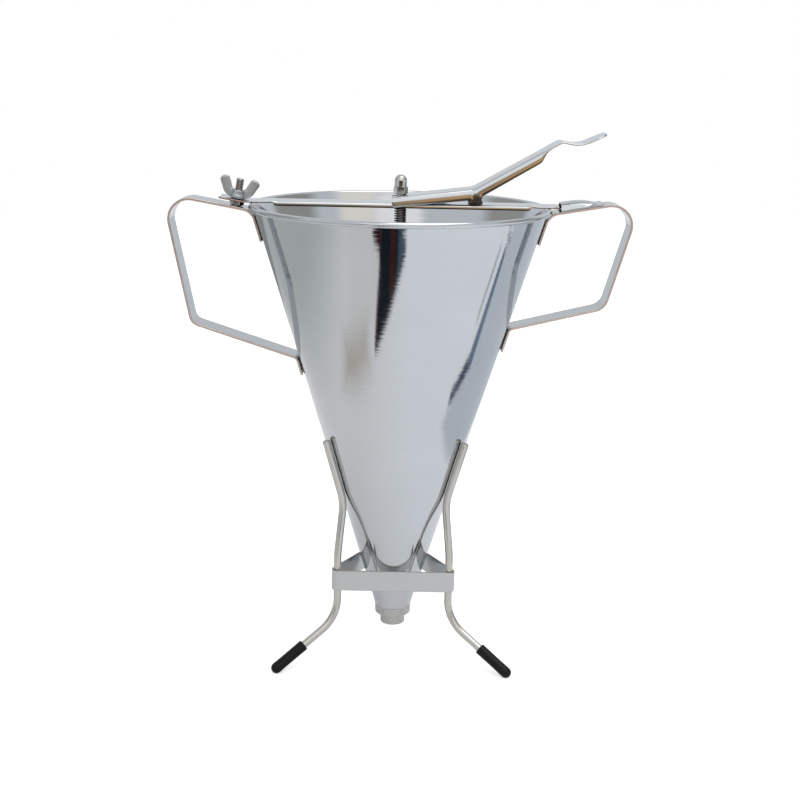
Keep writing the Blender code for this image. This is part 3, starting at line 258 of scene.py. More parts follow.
# A grid of points becomes a piece. marks are attributes with a value for each point
def gridPiece(name, points, material, body, node, wrapRows=False, caps=False, sharp=32, **marks):
    mesh = bpy.data.meshes.new(name)
    mesh.from_pydata(points.reshape(-1, 3).tolist(), [], gridFaces(points.shape[:2], wrapRows, caps))
    for mark, values in marks.items():
        attribute = mesh.attributes.new(mark, "FLOAT", "POINT")
        attribute.data.foreach_set("value", np.ascontiguousarray(values, np.float32).ravel())
    return finishMesh(name, mesh, material, body, node, sharp)


# doubles merged, faces turned outwards, smooth shading with edges over the angle of sharp kept
def finishMesh(name, mesh, material, body, node, sharp=32):
    work = bmesh.new()
    work.from_mesh(mesh)
    bmesh.ops.remove_doubles(work, verts=work.verts, dist=doubles)
    bmesh.ops.recalc_face_normals(work, faces=work.faces)
    work.to_mesh(mesh)
    work.free()
    mesh.shade_smooth()
    mesh.set_sharp_from_angle(angle=np.radians(sharp))
    mesh.materials.append(materials[material])
    piece = addObject(name, mesh)
    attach(piece, body)
    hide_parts(node)
    return piece


def addObject(name, data):
    item = bpy.data.objects.new(name, data)
    bpy.context.scene.collection.objects.link(item)
    return item


# a profile (radius, height) goes round Z
def turn(profile, steps):
    return polar(profile[:, :1], aroundCircle(steps), profile[:, 1:])


# points moved by a 4 x 4 matrix: R p + t
def place(points, matrix):
    m = np.array(matrix)
    return points @ m[:3, :3].T + m[:3, 3]


fit = 0.3 * mm  # room between pieces
doubles = 0.002 * mm

# Funnel

funnel = dict(
    rimRadius=95 * mm, rimHeight=299.8 * mm, beadRadius=1.75 * mm, beadSweep=290, sheet=0.8 * mm,
    mouthRadius=11.5 * mm, mouthHeight=32 * mm, steps=288, curlPoints=49, wallPoints=60)
beadCentre = np.array([funnel["rimRadius"] - funnel["beadRadius"], funnel["rimHeight"]])
beadMid = funnel["beadRadius"] - funnel["sheet"] / 2
wallRun = beadCentre - [funnel["mouthRadius"], funnel["mouthHeight"]]
wallReach = np.hypot(*wallRun)
wallHeading = np.arctan2(wallRun[1], wallRun[0]) + np.arcsin(beadMid / wallReach)
halfAngle = np.pi / 2 - wallHeading


# radius of a line beside the cone's outer face: the wall's middle radius at that height plus the standoff
def besideCone(height, standoff):
    middle = funnel["mouthRadius"] + (height - funnel["mouthHeight"]) * np.tan(halfAngle)
    return middle + (funnel["sheet"] / 2 + standoff) / np.cos(halfAngle)


# the sheet's middle line runs up the wall and curls outwards into the bead, and the section is that line
# moved half a sheet to each side
def makeFunnel():
    straight = np.sqrt(wallReach ** 2 - beadMid ** 2)
    foot = np.array([funnel["mouthRadius"], funnel["mouthHeight"]])
    top = foot + straight * unit(wallHeading)
    start = np.arctan2(*(top - beadCentre)[::-1])  # the wall touches the bead here
    angle = start - np.radians(funnel["beadSweep"]) * np.linspace(0, 1, funnel["curlPoints"])
    curl = beadCentre + beadMid * unit(angle)
    line = np.concatenate([foot + (top - foot) * np.linspace(0, 1, funnel["wallPoints"])[:-1, None], curl])
    left = leftOf(directions(line)) * funnel["sheet"] / 2
    profile = np.concatenate([line - left, (line + left)[::-1]])
    gridPiece("funnelShell", turn(profile, funnel["steps"]), "mirrorPolishedSheet", "funnel", "funnel_cone",
              wrapRows=True)


makeFunnel()

spout = dict(collarHeight=5.3 * mm, tubeLength=7.5 * mm, bore=6.4 * mm, wall=1.8 * mm, seatDepth=3.4 * mm,
             seatLand=0.3 * mm, edge=0.35 * mm, steps=96)


# closed profile: collar, plain tube, bore and conical seat, with small rounded edges
def makeSpout():
    top = funnel["mouthHeight"] - funnel["sheet"] / 2 * np.sin(halfAngle) - fit
    foot = top - spout["collarHeight"]
    tip = foot - spout["tubeLength"]
    collar = besideCone(funnel["mouthHeight"], 0)
    seat = besideCone(funnel["mouthHeight"], -funnel["sheet"]) - spout["seatLand"]
    tube, edge = spout["bore"] + spout["wall"], spout["edge"]
    corners = [
        (collar, top, 0), (collar, foot, edge), (tube, foot, edge), (tube, tip, edge), (spout["bore"], tip, edge),
        (spout["bore"], top - spout["seatDepth"], edge), (seat, top, 0)]
    profile = bentLine(corners, closed=True, turnStep=15)
    gridPiece("spoutBody", turn(profile, spout["steps"]), "turnedBar", "funnel", "outlet_spout", wrapRows=True)


makeSpout()

# Handles, bent from strip

strip = dict(
    width=20 * mm, sheet=1.5 * mm, edge=0.35 * mm, cutPart=0.75, weldRadius=2.1 * mm, weldDepth=0.16 * mm,
    weldAcross=5 * mm, ringShare=0.45, ringAt=1.25, ringWidth=0.28, outset=50 * mm, upperTab=19 * mm,
    topBend=8.5 * mm, gripBend=13 * mm, lowerFold=3.5 * mm)
topSlope = np.radians(10)
handles = {
    "left_handle": dict(
        side=-1, topDrop=3.1 * mm, lean=11.5, lowerBend=7 * mm, rise=17.9, span=93.2 * mm, lowerTab=11 * mm),
    "right_handle": dict(
        side=1, topDrop=2.0 * mm, lean=15.5, lowerBend=10 * mm, rise=13.8, span=72.8 * mm, lowerTab=14.5 * mm),
}


# where two lines meet, each given by a point and a heading
def crossing(point, heading, other, otherHeading):
    a, b, gap = unit(heading), unit(otherHeading), np.array(other) - point
    return np.array(point) + a * (gap[0] * b[1] - gap[1] * b[0]) / (a[0] * b[1] - a[1] * b[0])


# corners of the strip's middle line: along the cone, out at the top slope, down the leaning grip and back
def handleCorners(sizes):
    standoff = fit + strip["sheet"] / 2
    topHeight = funnel["rimHeight"] - sizes["topDrop"]
    lowHeight = topHeight - sizes["span"]
    topEnd, lowEnd = topHeight - strip["upperTab"], lowHeight - sizes["lowerTab"]
    topFold = np.array([besideCone(topHeight, standoff), topHeight])
    lowFold = np.array([besideCone(lowHeight, standoff), lowHeight])
    bendX = funnel["rimRadius"] + strip["outset"] - strip["sheet"] / 2 - strip["gripBend"]
    lean = np.radians(sizes["lean"])
    bendCentre = np.array([bendX, topFold[1] + (bendX - topFold[0]) * np.tan(topSlope)
                           - strip["gripBend"] / np.cos(topSlope)])
    grip = bendCentre + strip["gripBend"] * unit(-lean)
    down = -np.pi / 2 - lean
    topCorner = crossing(topFold, topSlope, grip, down)
    lowCorner = crossing(lowFold, np.radians(sizes["rise"]), grip, down)
    return [
        (besideCone(topEnd, standoff), topEnd, 0), (*topFold, strip["topBend"]), (*topCorner, strip["gripBend"]),
        (*lowCorner, sizes["lowerBend"]), (*lowFold, strip["lowerFold"]), (besideCone(lowEnd, standoff), lowEnd, 0)]


# height of a handle's upper face at a distance from the funnel's axis
def stripTop(sizes, distance):
    fold = handleCorners(sizes)[1]
    return fold[1] + (distance - fold[0]) * np.tan(topSlope) + strip["sheet"] / 2 / np.cos(topSlope)


# rounded rectangle, its flats divided, and 1 where a point lies on a cut edge
def stripSection(width, sheet, edge, spacing=0.8 * mm):
    x, y = width / 2, sheet / 2
    section = bentLine([(-x, -y, edge), (x, -y, edge), (x, y, edge), (-x, y, edge)], closed=True, turnStep=22,
                       spacing=spacing)
    return section, (np.abs(section[:, 0]) > x - strip["cutPart"] * edge).astype(float)


# Strip carried along the handle's line. Two spot welds on each tab sink the outer face by
# depth * (exp(-f ^ 4) - ring share * exp(-((f - ring place) / ring width) ^ 2)), where f is distance / radius
def makeHandle(node, sizes):
    line = bentLine(handleCorners(sizes), turnStep=3, spacing=0.9 * mm)
    line[:, 0] *= sizes["side"]
    section, cut = stripSection(strip["width"], strip["sheet"], strip["edge"])
    points = carry(line, *section.T)
    along = directions(line)
    left = np.stack([-along[:, 1], 0 * along[:, 0], along[:, 0]], -1)
    outward = np.sign(left[0, 0]) * sizes["side"]  # which side of the line faces away from the cone, at the tabs
    outer = outward * np.sign(section[:, 1]) > 0
    run = runOf(line)
    for distance in (strip["upperTab"] / 2, run[-1] - sizes["lowerTab"] / 2):
        row = np.argmin(np.abs(run - distance))
        for y in (-strip["weldAcross"], strip["weldAcross"]):
            centre = np.array([line[row, 0], y, line[row, 1]]) + left[row] * section[outer][0, 1]
            far = np.linalg.norm(points - centre, axis=-1) / strip["weldRadius"]
            ring = np.exp(-((far - strip["ringAt"]) / strip["ringWidth"]) ** 2)
            sink = strip["weldDepth"] * (np.exp(-far ** 4) - strip["ringShare"] * ring)
            points -= (outward * sink * outer[None, :])[..., None] * left[:, None, :]
    gridPiece(node.replace("_handle", "Handle"), points, "polishedStrip", "funnel", node, caps=True,
              cutEdge=np.broadcast_to(cut, points.shape[:2]))


for node, sizes in handles.items():
    makeHandle(node, sizes)
print("funnel, spout and handles made")

# Stand

stand = dict(
    wire=5 * mm, legTop=153.5 * mm, waist=110.3 * mm, waistBend=40 * mm, shoulder=75 * mm, shoulderBend=60 * mm,
    knee=30 * mm, kneeBend=24 * mm, toeRadius=86.6 * mm, bandTop=64.6 * mm, bandHeight=14 * mm, bandSheet=1 * mm,
    bandClearance=2.2 * mm, bandEdge=0.25 * mm, capWall=0.85 * mm, capLength=23 * mm, capLip=0.45 * mm,
    capWaist=0.12 * mm, waistAt=0.35, waistEase=300 * mm, capTip=0.98, capPress=0.9, capInner=0.2 * mm,
    sole=0.5 * mm, legEdge=0.4 * mm, wireSteps=32, capSteps=48, arcPoints=31)
legs = {"front_left": 210, "front_right": 330, "back": 90}
legCircle = 2 * (besideCone(stand["bandTop"], stand["bandClearance"]) - stand["wire"] / 2 - fit)
capRadius = stand["wire"] / 2 + fit + stand["capWall"]
toeHeight = capRadius - stand["sole"]


# round wire carried along the leg's line, its ends eased by a small chamfer
def makeLeg(name, azimuth):
    standoff = stand["wire"] / 2 + fit
    line = bentLine([
        (besideCone(stand["legTop"], standoff), stand["legTop"], 0),
        (besideCone(stand["waist"], standoff), stand["waist"], stand["waistBend"]),
        (legCircle, stand["shoulder"], stand["shoulderBend"]), (legCircle, stand["knee"], stand["kneeBend"]),
        (stand["toeRadius"], toeHeight, 0)], turnStep=2, spacing=3 * mm)
    edge, scale = stand["legEdge"], np.ones(len(line) + 2)
    ends = [line[0] + (line[1] - line[0]) / np.linalg.norm(line[1] - line[0]) * edge,
            line[-1] + (line[-2] - line[-1]) / np.linalg.norm(line[-2] - line[-1]) * edge]
    line = np.concatenate([line[:1], ends[:1], line[1:-1], ends[1:], line[-1:]])
    scale[[0, -1]] = 1 - edge / (stand["wire"] / 2)
    angle = aroundCircle(stand["wireSteps"])
    circle = stand["wire"] / 2 * unit(angle).T[:, None]
    points = place(carry(line, *(scale[:, None] * circle)), Matrix.Rotation(np.radians(azimuth), 4, "Z"))
    gridPiece("wireLeg_" + name, points, "drawnWire", "stand", "leg_" + name, caps=True)


# Vinyl sleeve: a closed profile goes round the toe's line, and what would be under the floor is pressed flat
def makeCap(name, azimuth):
    bore, length, lip = stand["wire"] / 2 + fit, stand["capLength"], stand["capLip"]
    innerEnd = -stand["capPress"] * fit
    corners = [
        (0, -capRadius, 0), (capRadius, -capRadius, capRadius * stand["capTip"]),
        (capRadius - stand["capWaist"], stand["waistAt"] * length, stand["waistEase"]),
        (capRadius, length, lip), (bore, length, lip / 2), (bore, innerEnd, stand["capInner"]), (0, innerEnd, 0)]
    toe = Vector((stand["toeRadius"], 0, toeHeight))
    knee = Vector((legCircle, 0, stand["knee"]))
    matrix = (Matrix.Rotation(np.radians(azimuth), 4, "Z") @ Matrix.Translation(toe)
              @ (knee - toe).to_track_quat("Z", "Y").to_matrix().to_4x4())
    points = place(turn(bentLine(corners, turnStep=8, spacing=1.5 * mm), stand["capSteps"]), matrix)
    points[..., 2] = np.maximum(points[..., 2], 0)
    gridPiece("footCap_" + name, points, "dippedVinyl", "stand", "foot_cap_" + name)


# strip carried round the three legs: arcs round each leg, straight between them
def makeBand():
    clearance = stand["wire"] / 2 + fit + stand["bandSheet"] / 2
    loop = []
    for azimuth in sorted(legs.values()):
        a = np.radians(azimuth)
        around = a + np.radians(np.linspace(-60, 60, stand["arcPoints"]))
        loop.append(legCircle * unit(a) + clearance * unit(around))
    loop = np.concatenate(loop)
    line = bentLine(np.column_stack([loop, 0 * loop[:, 0]]), closed=True, spacing=2 * mm)
    section, cut = stripSection(stand["bandHeight"], stand["bandSheet"], stand["bandEdge"], 1.5 * mm)
    points = carry(line, *section.T, closed=True)[..., [0, 2, 1]]
    points[..., 2] = points[..., 2] + stand["bandTop"] - stand["bandHeight"] / 2
    gridPiece("standBand", points, "polishedBand", "stand", "stand_band", wrapRows=True,
              cutEdge=np.broadcast_to(cut, points.shape[:2]))


for name, azimuth in legs.items():
    makeLeg(name, azimuth)
    makeCap(name, azimuth)
makeBand()
print("stand made")

# Clamp: stud, spacer nut, wing nut and the keeper on the other side

clamp = dict(
    studOut=8 * mm, studLength=16.6 * mm, thread=2.5 * mm, threadPitch=0.8 * mm, threadDepth=0.42 * mm,
    flank=1.35, crest=0.17, chamfer=0.6 * mm, turnSteps=48, pitchSteps=14, spacerHeight=2.6 * mm, flats=8 * mm,
    nutChamfer=0.45 * mm, cornerCut=0.2, nutFace=0.96, nutSlope=30, ballShare=0.985, boreEdge=0.3 * mm,
    nutSteps=120, easeRows=9, flatRows=6, domeRows=22, barSheet=1 * mm, turningFit=0.08 * mm)
studDistance = funnel["rimRadius"] + clamp["studOut"]
studPlace = (Matrix.Translation((-studDistance, 0, stripTop(handles["left_handle"], studDistance)))
             @ Matrix.Rotation(topSlope, 4, "Y"))


# Thread: r(a, z) = major radius - depth * tooth(s), where s is the fraction of z / pitch - a / 2 pi and the tooth
# is 1.35 |2 s - 1| - 0.17 kept between 0 and 1. The chamfers at both ends cut r down
def threadRadius(angle, height, sizes, foot, top):
    share = (height / sizes["threadPitch"] - angle / (2 * np.pi)) % 1
    tooth = np.clip(np.abs(2 * share - 1) * sizes["flank"] - sizes["crest"], 0, 1)
    radius = sizes["thread"] - sizes["threadDepth"] * tooth
    return np.minimum(radius, sizes["thread"] - sizes["chamfer"] + np.minimum(height - foot, top - height))


# rod of that radius from just above the handle to the stud's top
def makeStud():
    foot, top = fit, clamp["studLength"]
    rows = 1 + int((top - foot) / clamp["threadPitch"] * clamp["pitchSteps"])
    height = np.linspace(foot, top, rows)[:, None]
    angle = aroundCircle(clamp["turnSteps"])[None]
    points = polar(threadRadius(angle, height, clamp, foot, top), angle, height)
    gridPiece("threadedStud", place(points, studPlace), "platedThread", "funnel", "clamp_stud", caps=True, sharp=50)


# Hexagon nut: r(a, z) is the smaller of the hexagon, flats / 2 / cos(a to the next flat), and a 30 degree cone
# that eases both faces. A dome of the given height closes it, or the bore goes through
def nutPoints(flats, height, bore, chamfer, dome=0.0, boreDepth=None):
    angle = aroundCircle(clamp["nutSteps"])[None]
    apothem = flats / 2 / np.cos(angle % (np.pi / 3) - np.pi / 6)
    corner = flats / 2 / np.cos(np.pi / 6)
    face, slope, edge = clamp["nutFace"] * flats / 2, np.tan(np.radians(clamp["nutSlope"])), clamp["boreEdge"]
    ease = (corner - face) * slope
    up = np.concatenate([
        np.linspace(0, ease, clamp["easeRows"]), np.linspace(ease, height - ease, clamp["flatRows"])[1:-1],
        np.linspace(height - ease, height, clamp["easeRows"])])[:, None]
    cone = face + np.minimum(up, height - up) / slope
    radius = np.minimum(np.minimum(apothem, cone), corner - chamfer * clamp["cornerCut"])
    rows = [(radius, up)]
    if dome:
        ball = flats / 2 * clamp["ballShare"]
        over = np.linspace(0, np.pi / 2, clamp["domeRows"])[:, None]
        rows += [(np.array([[ball]]), np.array([[height]])),
                 (ball * np.cos(over), dome - ball + ball * np.sin(over))]
        inside = np.array([[0, boreDepth], [bore, boreDepth - bore / 2], [bore, edge], [bore + edge, 0]])
    else:
        inside = np.array([[bore + edge, height], [bore, height - edge], [bore, edge], [bore + edge, 0]])
    rows.append((inside[:, :1], inside[:, 1:]))
    radius, up = (np.concatenate([part + 0 * angle for part in parts]) for parts in zip(*rows))
    return polar(radius, angle, up)


def makeSpacerNut():
    points = nutPoints(clamp["flats"], clamp["spacerHeight"], clamp["thread"] + fit, clamp["nutChamfer"])
    points[..., 2] += fit
    gridPiece("spacerNut", place(points, studPlace), "platedNut", "funnel", "spacer_nut", wrapRows=True, sharp=24)


wing = dict(
    hubFoot=4.7 * mm, hubTop=3.9 * mm, hubHeight=5.2 * mm, hubSteps=72, thickness=0.95 * mm, rootShare=1.25,
    taper=0.35, spine=[(2.2, 2.4, 0), (6.2, 3.4, 5.0), (10.4, 12.6, 0)],  # mm: out, up and radius of the bend
    halfWidth=(2.9, 3.0, 3.2), widestAt=0.45, tipRound=2.4 * mm, tipThin=1.2 * mm, leastWidth=0.002,
    leastThickness=0.01, sideSquare=0.85, faceSquare=0.7, aroundSteps=28, voxel=0.22 * mm, smoothing=6,
    smoothShare=0.5)


# Wings are lofted along a bent spine: the section is |cos a| ^ 0.85 wide and |sin a| ^ 0.7 thick, its half width
# follows the three widths and falls to nothing as a circle does at the tip. Hub and wings are cast in one
def makeWingNut():
    foot = fit + clamp["spacerHeight"] + fit + clamp["barSheet"] + fit
    bore = clamp["thread"] + clamp["turningFit"]
    hub = bentLine([
        (bore, 0, 0.3 * mm), (wing["hubFoot"], 0, 0.4 * mm), (wing["hubFoot"], 1.5 * mm, 0.5 * mm),
        (wing["hubTop"] + 0.25 * mm, 2.4 * mm, 0.8 * mm), (wing["hubTop"], wing["hubHeight"], 0.5 * mm),
        (bore, wing["hubHeight"], 0.3 * mm)], closed=True, turnStep=20, spacing=0.6 * mm)
    shells = [turn(hub, wing["hubSteps"])]
    spine = bentLine([(x * mm, z * mm, r * mm) for x, z, r in wing["spine"]], turnStep=4, spacing=0.35 * mm)
    run = runOf(spine)
    share = run / run[-1]
    half = np.interp(share, (0, wing["widestAt"], 1), wing["halfWidth"]) * mm
    left = run[-1] - run
    half *= np.sqrt(np.clip(1 - np.clip(1 - left / wing["tipRound"], 0, 1) ** 2, wing["leastWidth"], 1))
    thick = wing["thickness"] * (wing["rootShare"] - wing["taper"] * share)
    thick *= np.sqrt(np.clip(left / wing["tipThin"], wing["leastThickness"], 1))
    side = leftOf(directions(spine))
    angle = aroundCircle(wing["aroundSteps"])
    wide = np.sign(np.cos(angle)) * np.abs(np.cos(angle)) ** wing["sideSquare"]
    deep = np.sign(np.sin(angle)) * np.abs(np.sin(angle)) ** wing["faceSquare"]
    x = spine[:, :1] + side[:, :1] * half[:, None] * wide
    z = spine[:, 1:] + side[:, 1:] * half[:, None] * wide
    y = thick[:, None] * deep
    shells += [np.stack([sign * x, y, z], -1) for sign in (-1, 1)]
    points, faces, start = [], [], 0
    for shell, closed in zip(shells, (True, False, False)):
        faces += gridFaces(shell.shape[:2], closed, not closed, start)
        points.append(shell.reshape(-1, 3))
        start += len(points[-1])
    points = np.concatenate(points) + [0, 0, foot]
    mesh = bpy.data.meshes.new("castWingNut")
    mesh.from_pydata(place(points, studPlace).tolist(), [], faces)
    piece = finishMesh("castWingNut", mesh, "platedCasting", "wing", "wing_nut", sharp=80)
    cast = piece.modifiers.new("cast", "REMESH")
    cast.mode, cast.voxel_size, cast.use_smooth_shade = "VOXEL", wing["voxel"], True
    soften = piece.modifiers.new("soften", "SMOOTH")
    soften.factor, soften.iterations = wing["smoothShare"], wing["smoothing"]


makeStud()
makeSpacerNut()
makeWingNut()

bar = dict(
    seat=funnel["rimHeight"] + funnel["beadRadius"] + fit + clamp["barSheet"], rise=0.3 * mm,
    root=funnel["rimRadius"] + 4.5 * mm, tongueHalf=6 * mm)
keeper = dict(
    sheet=0.8 * mm, length=26.2 * mm, play=0.4 * mm, archLength=23.8 * mm, brim=0.7 * mm, bulge=0.12 * mm,
    footFrom=0.75, rows=90, columns=81)


# height of the pressed arch at a share s of its half width: sqrt(1 - |s|^3), its foot eased from 0.75 outwards
def archCrown(share):
    foot = np.clip((np.abs(share) - keeper["footFrom"]) / (1 - keeper["footFrom"]), 0, 1)
    return np.sqrt(np.clip(1 - np.abs(share) ** 3, 0, None)) * (1 - foot * foot * (3 - 2 * foot))


# Keeper: over the strip's slope stands rise * (1 - u^3)^1.2 * crown(v), u along and v across, and the sheet is
# that surface and the same moved one sheet along its own normal
def makeKeeper():
    sizes = handles["right_handle"]
    archHalf = strip["width"] / 2 - keeper["brim"]
    high = bar["seat"] - stripTop(sizes, bar["root"]) + keeper["play"]
    high /= archCrown(bar["tongueHalf"] / archHalf)
    u = np.linspace(0, keeper["length"], keeper["rows"])[:, None]
    v = np.sin(np.linspace(-np.pi / 2, np.pi / 2, keeper["columns"]))[None] * strip["width"] / 2
    x = bar["root"] + 2 * fit + u + 0 * v
    crown = archCrown(np.clip(v / archHalf, -1, 1))
    rise = high * np.clip(1 - (u / keeper["archLength"]) ** 3, 0, None) ** 1.2 * crown
    under = np.stack([x, v + 0 * u, stripTop(sizes, x) + fit / np.cos(topSlope) + rise], -1)
    du, dv = np.gradient(under, axis=0), np.gradient(under, axis=1)
    normal = np.cross(du, dv)
    normal /= np.linalg.norm(normal, axis=-1)[..., None]
    over = under + normal * keeper["sheet"]
    mid = under + normal * keeper["sheet"] / 2
    mid[:, [0, -1], 1] += np.array([-1, 1]) * keeper["bulge"]
    columns = np.concatenate([under, mid[:, -1:], over[:, ::-1], mid[:, :1]], axis=1)
    gridPiece("pressedKeeper", columns, "polishedStrip", "funnel", "bridge_keeper", caps=True, sharp=40)


makeKeeper()
print("clamp and keeper made")

# Bridge bar and lever, pressed from strip into channels

channel = dict(edge=0.18 * mm, leastRadius=0.05 * mm, leastWall=0.1 * mm, wallPoints=7, cornerPoints=9, topPoints=9)


# Channel section at each station of a line, for half width w, depth d, corner radius R and sheet t, all arrays:
# outside, the wall stands at w and flares by the draft, which eases from steep to shallow down the wall, and the
# corner is R (cos a, sin a). Inside is the same, one sheet smaller. innerSide is where a half channel ends
def channelSection(w, d, R, t, draft, innerSide=None):
    w, d, R = (np.asarray(value)[:, None] for value in (w, d, R))
    edge, least = channel["edge"], channel["leastRadius"]
    down = np.linspace(0, 1, channel["wallPoints"])[None]
    steep, shallow = np.tan(draft[0]), np.tan(draft[1])

    def side(offset):
        radius = np.maximum(R - offset, least)
        first = np.maximum(np.arcsin(np.clip((R - np.maximum(d, offset)) / radius, 0, 0.999)), draft[0])
        a = first + (np.pi / 2 - first) * np.linspace(0, 1, channel["cornerPoints"])[None]
        arcY, arcZ = w - R + radius * np.cos(a), -R + radius * np.sin(a)
        arcZ = np.where(R - offset > least, arcZ, np.minimum(arcZ, -offset))
        high, low = -arcZ[:, :1], np.maximum(d - edge, -arcZ[:, :1])
        depth = high + (low - high) * down[:, ::-1]
        flare = steep * (depth - high) - (steep - shallow) * (depth - high) ** 2 / (
            2 * np.maximum(low - high, channel["leastWall"]))
        return np.concatenate([arcY[:, :1] + flare, arcY[:, 1:]], 1), np.concatenate([-depth, arcZ[:, 1:]], 1)

    outY, outZ = side(0)
    inY, inZ = side(t)
    footOut, footIn = outY[:, :1] - edge, inY[:, :1] + edge
    stop = 0 * w if innerSide is None else 0 * w + innerSide
    across = 1 - np.linspace(0, 1, channel["topPoints"])[None, 1:]
    topY = stop + (outY[:, -1:] - stop) * across
    lowY = stop + (inY[:, -1:] - stop) * across
    halfY = np.concatenate([footOut, outY, topY], 1)
    halfZ = np.concatenate([-d, outZ, 0 * topY], 1)
    backY = np.concatenate([lowY[:, ::-1], inY[:, ::-1], footIn], 1)
    backZ = np.concatenate([-t + 0 * lowY, inZ[:, ::-1], -d], 1)
    if innerSide is not None:
        return np.concatenate([halfY, backY], 1), np.concatenate([halfZ, backZ], 1)
    return (np.concatenate([halfY, -halfY[:, -2::-1], -backY[:, ::-1], backY[:, 1:]], 1),
            np.concatenate([halfZ, halfZ[:, -2::-1], backZ[:, ::-1], backZ[:, 1:]], 1))


# from 0 to 1 between two places, along a quarter ellipse: sqrt(1 - (1 - s) ^ 2)
def rounded(x, start, end):
    return np.sqrt(np.clip(1 - (1 - np.clip((x - start) / (end - start), 0, 1)) ** 2, 0, 1))


bar.update(
    endLength=10.5 * mm, bend=6 * mm, stepRun=3 * mm, stepBend=1.5 * mm, channelLeft=79 * mm, channelRight=81 * mm,
    depth=2.8 * mm, corner=1.3 * mm, flatCorner=0.3 * mm, cornerEase=3 * mm, easeBefore=1 * mm, flangeEnd=2.2 * mm,
    neck=0.9 * mm, neckBack=0.7 * mm, tongueLength=7.5 * mm, nose=3 * mm, draft=(6, 3), rawFrom=95 * mm,
    edgeSkin=0.25 * mm, flangeFrom=2 * mm, shadeHeight=0.72 * mm)


# the bar's top line steps up by the rise between the flat ends, and its depth follows the two flanges
def makeBar():
    stack = fit + clamp["spacerHeight"] + fit + clamp["barSheet"]
    over = np.array(studPlace @ Vector((0, 0, stack)))[[0, 2]]
    fold = crossing(over, np.pi - topSlope, (0, bar["seat"]), 0)
    end = over + bar["endLength"] * np.array([-np.cos(topSlope), np.sin(topSlope)])
    high, tongueEnd, half = bar["seat"] + bar["rise"], bar["root"] + bar["tongueLength"], strip["width"] / 2
    left, right = -bar["channelLeft"] - bar["stepBend"], bar["channelRight"] + bar["stepBend"]
    line = bentLine([
        (*end, 0), (*fold, bar["bend"]), (left - bar["stepRun"], bar["seat"], bar["stepBend"]),
        (left, high, bar["stepBend"]), (right, high, bar["stepBend"]),
        (right + bar["stepRun"], bar["seat"], bar["stepBend"]), (tongueEnd, bar["seat"], 0)],
        turnStep=2, spacing=0.7 * mm)
    x = line[:, 0]
    inside = np.minimum(rounded(x, -bar["channelLeft"], -bar["channelLeft"] + bar["flangeEnd"]),
                        rounded(-x, -bar["channelRight"], -bar["channelRight"] + bar["flangeEnd"]))
    fromEnds = np.minimum(x + bar["channelLeft"], bar["channelRight"] - x)
    blend = np.clip((fromEnds + bar["easeBefore"]) / bar["cornerEase"], 0, 1)
    depth = clamp["barSheet"] + (bar["depth"] - clamp["barSheet"]) * inside
    corner = bar["flatCorner"] + (bar["corner"] - bar["flatCorner"]) * blend
    width = half - (half - bar["tongueHalf"]) * np.clip((x - bar["root"] + bar["neckBack"]) / bar["neck"], 0, 1)
    width -= bar["nose"] * (1 - rounded(-x, -tongueEnd, -tongueEnd + bar["nose"]))
    across, up = channelSection(width, depth, corner, clamp["barSheet"], np.radians(bar["draft"]))
    atEdge = np.abs(across) > width[:, None] - bar["edgeSkin"]
    # painted shade: the lowest part of each flange's outer face is coloured dark brown, where no light comes
    foot = (depth > bar["flangeFrom"])[:, None] & (up < bar["shadeHeight"] - depth[:, None])
    gridPiece("pressedBar", carry(line, across, up), "buffedBar", "funnel", "bridge_bar", caps=True, sharp=35,
              cutEdge=atEdge & (np.abs(x) > bar["rawFrom"])[:, None], deepShade=atEdge & foot)


makeBar()

lever = dict(
    pivot=(46.7 * mm, 308.55 * mm), over=4.7 * mm, sheet=1.0 * mm, halfWidth=11.8 * mm, corner=2.2 * mm, slope=7,
    armSlope=29.46, bend=8 * mm, tip=5.6 * mm, depth=6.4 * mm, tipCorner=1.2 * mm, boss=3.4 * mm, arm=61 * mm,
    wallEnd=[(17.7, 5.5), (16.7, 5.2), (15.0, 4.2), (11.8, 2.0), (9.1, 1.1)],  # mm before the crest, and depth
    crestBend=4.7 * mm, fall=11.5 * mm, fallSlope=10.7, dipBend=19.4 * mm, reach=17.6 * mm, reachSlope=23.9,
    tabCorner=0.45 * mm, nose=6 * mm, slotHalf=3 * mm, slotBack=3.4 * mm, draft=(9, 1), tabDraft=(8, 4),
    bossBack=0.4 * mm, bossReach=12 * mm, smoothing=[0.1, 0.2, 0.4, 0.2, 0.1])


